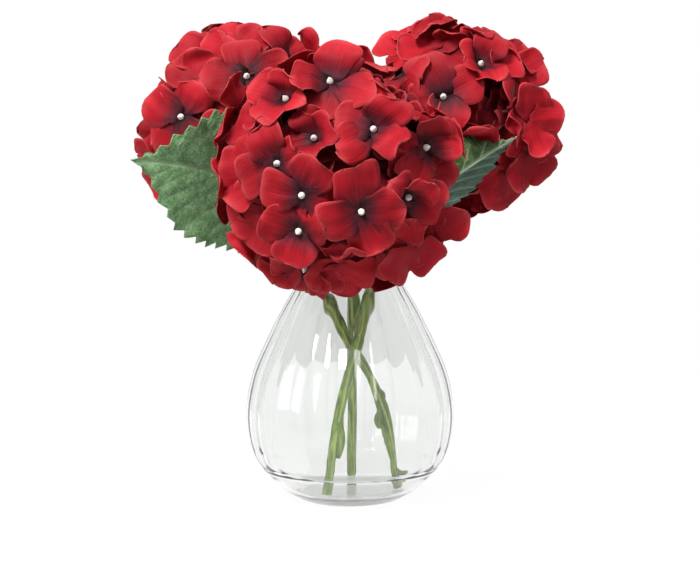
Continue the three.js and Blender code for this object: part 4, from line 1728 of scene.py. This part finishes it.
@dataclass(frozen=True)
class Vase:
    """A round-bellied glass bottle with shallow upright flutes and a crease above its rounded foot."""

    outside: tuple[tuple[float, float], ...] = (
        (32, 0), (46, 8.5), (58.5, 21), (65.5, 33), (69.7, 58), (65.3, 85), (56.3, 106.5), (44.5, 130),
        (36.5, 144), (34.5, 150),
    )
    crease: int = 2
    seam_height: float = 0.15
    seam_reach: float = 0.9
    inside_corner: tuple[tuple[float, float], ...] = ((26, 7), (36.5, 7), (43, 10.5), (50, 17.2), (59.5, 28))
    wall: float = 3.2
    wall_from: float = 38.0
    thins_from: float = 120.0
    rim_from: float = 146.0
    flutes: int = 24
    flute_depth: float = 0.7
    flutes_above_crease: tuple[float, float] = (1.0, 7.0)
    flutes_end: tuple[float, float] = (138.0, 149.0)
    segments_per_flute: int = 10
    rim_radius: float = 1.5
    foot_radius: float = 1.6

    def _outline(self) -> np.ndarray:
        """Trace the outside from the foot to the rim, as radius and height.

        Returns:
            The outline's points.
        """
        flat = [(r, 0.0, z) for r, z in self.outside]
        foot = rounded_route(flat[: self.crease + 1], 14)[:-1]
        coarse = np.concatenate([foot, rounded_route(flat[self.crease :], 56)])[:, (0, 2)]
        # The mould's parting line stands proud as a fine ring at the crease.
        crease = self.outside[self.crease][1]
        heights = np.unique(np.concatenate([coarse[:, 1], crease + np.linspace(-2, 2, 11)]))
        seam = self.seam_height * np.exp(-(((heights - crease) / self.seam_reach) ** 2))
        return np.stack([np.interp(heights, coarse[:, 1], coarse[:, 0]) + seam, heights], axis=1)

    def profile(self) -> np.ndarray:
        """Trace the glass's section from the middle of the foot, over the rim, to the middle of the floor.

        Returns:
            The section's points, as radius and height.
        """
        outline = self._outline()
        outer = outline[outline[:, 1] < outline[-1, 1] - self.rim_radius]
        foot = np.array([(8, 0), (20, 0), (30, 0), (outer[0, 0] - self.foot_radius, 0)])
        outer = outer[outer[:, 1] > self.foot_radius * 0.6]
        rim_height = outline[-1, 1] - self.rim_radius
        rim_middle = np.interp(rim_height, outline[:, 1], outline[:, 0]) - self.rim_radius
        rim_turn = np.linspace(0, math.pi, 9)
        rim_round = self.rim_radius * np.stack([np.cos(rim_turn), np.sin(rim_turn)], axis=1)
        rim = np.array([rim_middle, rim_height]) + rim_round
        heights = np.linspace(self.rim_from, self.wall_from, 34)
        thick = np.interp(heights, [self.thins_from, self.rim_from], [self.wall, 2 * self.rim_radius])
        inner = np.stack([np.interp(heights, outline[:, 1], outline[:, 0]) - thick, heights], axis=1)
        bend = [(r, 0.0, z) for r, z in (*self.inside_corner, tuple(inner[-1]))]
        corner = rounded_route(bend, 30)[-2::-1, (0, 2)]
        floor = np.array([(10, self.inside_corner[0][1])])
        return np.concatenate([foot, outer, rim, inner, corner, floor])

    def build(self) -> bpy.types.Object:
        """Make the vase and let it stand for its CAD node.

        Returns:
            The vase.
        """
        profile = self.profile()
        segments = self.flutes * self.segments_per_flute
        turn = turns(segments)
        radius, height = profile[:, 0], profile[:, 1]
        crease = self.outside[self.crease][1]
        fade = smooth(height - crease, *self.flutes_above_crease) * (1 - smooth(height, *self.flutes_end))
        wide = radius[:, None] + np.cos(self.flutes * turn) * (self.flute_depth / 2 * fade)[:, None]
        # Only the face that it stands on is ground.
        ground = np.broadcast_to((height < 0.1)[:, None] * 1.0, wide.shape)
        draft = MeshDraft(marks=("ground",))
        draft.add_rings(lathed(wide, height, turn), ground=ground)
        piece = draft.build("vase_fluted_glass", PressedGlass().make())
        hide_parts("vase")
        return piece


@dataclass(frozen=True)
class SoftLight:
    """A soft rectangular light, turned to the blooms. Lengths are in metres and the power is in watts."""

    name: str
    place: tuple[float, float, float]
    size: tuple[float, float]
    power: float
    aim: tuple[float, float, float] = (0.0, 0.0, 0.2)

    def build(self) -> None:
        """Add the light."""
        data = bpy.data.lights.new(self.name, "AREA")
        data.shape = "RECTANGLE"
        data.size, data.size_y = self.size
        data.energy = self.power
        light = bpy.data.objects.new(self.name, data)
        light.location = self.place
        way = Vector(self.aim) - Vector(self.place)
        light.rotation_euler = way.to_track_quat("-Z", "Y").to_euler()
        bpy.context.scene.collection.objects.link(light)


# A key from the upper left front, windows at both sides and a soft light from above.
LIGHTS = (
    SoftLight("key", (-0.9, -1.5, 2.0), (0.8, 0.8), 80.0),
    SoftLight("window_left", (-2.0, -0.9, 0.75), (1.2, 1.1), 10.0),
    SoftLight("strip_right", (0.78, -1.5, 1.6), (0.4, 2.3), 14.0),
    SoftLight("top", (0.0, 0.3, 2.2), (1.6, 1.6), 10.0),
)


@dataclass(frozen=True)
class Studio:
    """The camera where the photograph was taken from, a pale floor and soft lights.

    The camera's place is in metres. Its sensor and the floor are in millimetres.
    """

    distance: float = 1.6
    height: float = 0.311
    aim_height: float = 0.1468
    focal_pixels: float = 2400.0
    image_width: float = 700.0
    sensor: float = 36.0
    floor_reach: float = 480.0
    floor_back: float = 200.0
    floor_drop: float = 0.2
    ambient: str = "#828486"

    def add_camera(self) -> None:
        """Add the camera."""
        data = bpy.data.cameras.new("camera")
        data.sensor_width = self.sensor
        data.lens = self.sensor * self.focal_pixels / self.image_width
        data.clip_start, data.clip_end = 0.05, 50.0
        camera = bpy.data.objects.new("camera", data)
        camera.location = (0, -self.distance, self.height)
        down = math.atan2(self.height - self.aim_height, self.distance)
        camera.rotation_euler = (math.pi / 2 - down, 0, 0)
        bpy.context.scene.collection.objects.link(camera)
        bpy.context.scene.camera = camera

    def add_floor(self) -> None:
        """Add the pale floor, a round table top whose far edge is lost in the white behind it."""
        turn = turns(96)
        across, back = np.cos(turn) * self.floor_reach, np.sin(turn) * self.floor_reach + self.floor_back
        ring = np.stack([across, back, np.zeros_like(turn)], axis=1)
        mesh = bpy.data.meshes.new("floor")
        mesh.from_pydata((ring * MM).tolist(), [], [tuple(range(len(turn)))])
        mesh.materials.append(LitTable().make())
        floor = bpy.data.objects.new("floor", mesh)
        floor.location = (0, 0, -self.floor_drop * MM)
        bpy.context.scene.collection.objects.link(floor)

    def add_lights(self) -> None:
        """Add the soft lights and a bright surround."""
        for light in LIGHTS:
            light.build()
        world = bpy.data.worlds.new("surround")
        add = cleared(world)
        ray = add("LightPath").outputs
        way = add("TexCoord").outputs["Generated"]
        high = add("SeparateXYZ", {"Vector": way}).outputs["Z"]
        # What glass mirrors: bright up to some 35 degrees, then the studio's dim ceiling.
        mirrored = [(0.0, "#ffffff"), (0.56, "#f2f3f3"), (0.66, "#b4b6b6"), (1.0, "#a4a6a6")]
        # What glass bends is a shade greyer low down, so that it stands out from the white.
        bent = [(0.0, "#e8e9e8"), (0.3, "#e8e9e8"), (0.5, "#ffffff")]
        colour, behind = (
            add("ValToRGB", {"Fac": high}, stops=stops).outputs["Color"] for stops in (mirrored, bent)
        )
        lights = {"Transmission": behind, "Diffuse": linear(self.ambient), "Camera": WHITE}
        for kind, light in lights.items():
            share = ray[f"Is {kind} Ray"]
            colour = add("Mix", {"Factor": share, 6: colour, 7: light}, data_type="RGBA").outputs[2]
        back = add("Background", {"Color": colour, "Strength": 1.0})
        add("OutputWorld", {"Surface": back.outputs["Background"]})
        bpy.context.scene.world = world
        bpy.context.scene.view_settings.view_transform = "Standard"


def main() -> None:
    """Build the studio and the arrangement in order."""
    logging.basicConfig(level=logging.INFO, format="%(name)s: %(message)s")
    studio = Studio()
    studio.add_camera()
    Vase().build()
    for side in Side:
        Stem(side).build()
    for leaf in LEAVES:
        leaf.build()
    for side in Side:
        Bloom(side).build()
    studio.add_floor()
    studio.add_lights()
    LOG.info("the arrangement is complete")


if __name__ == "__main__":
    main()
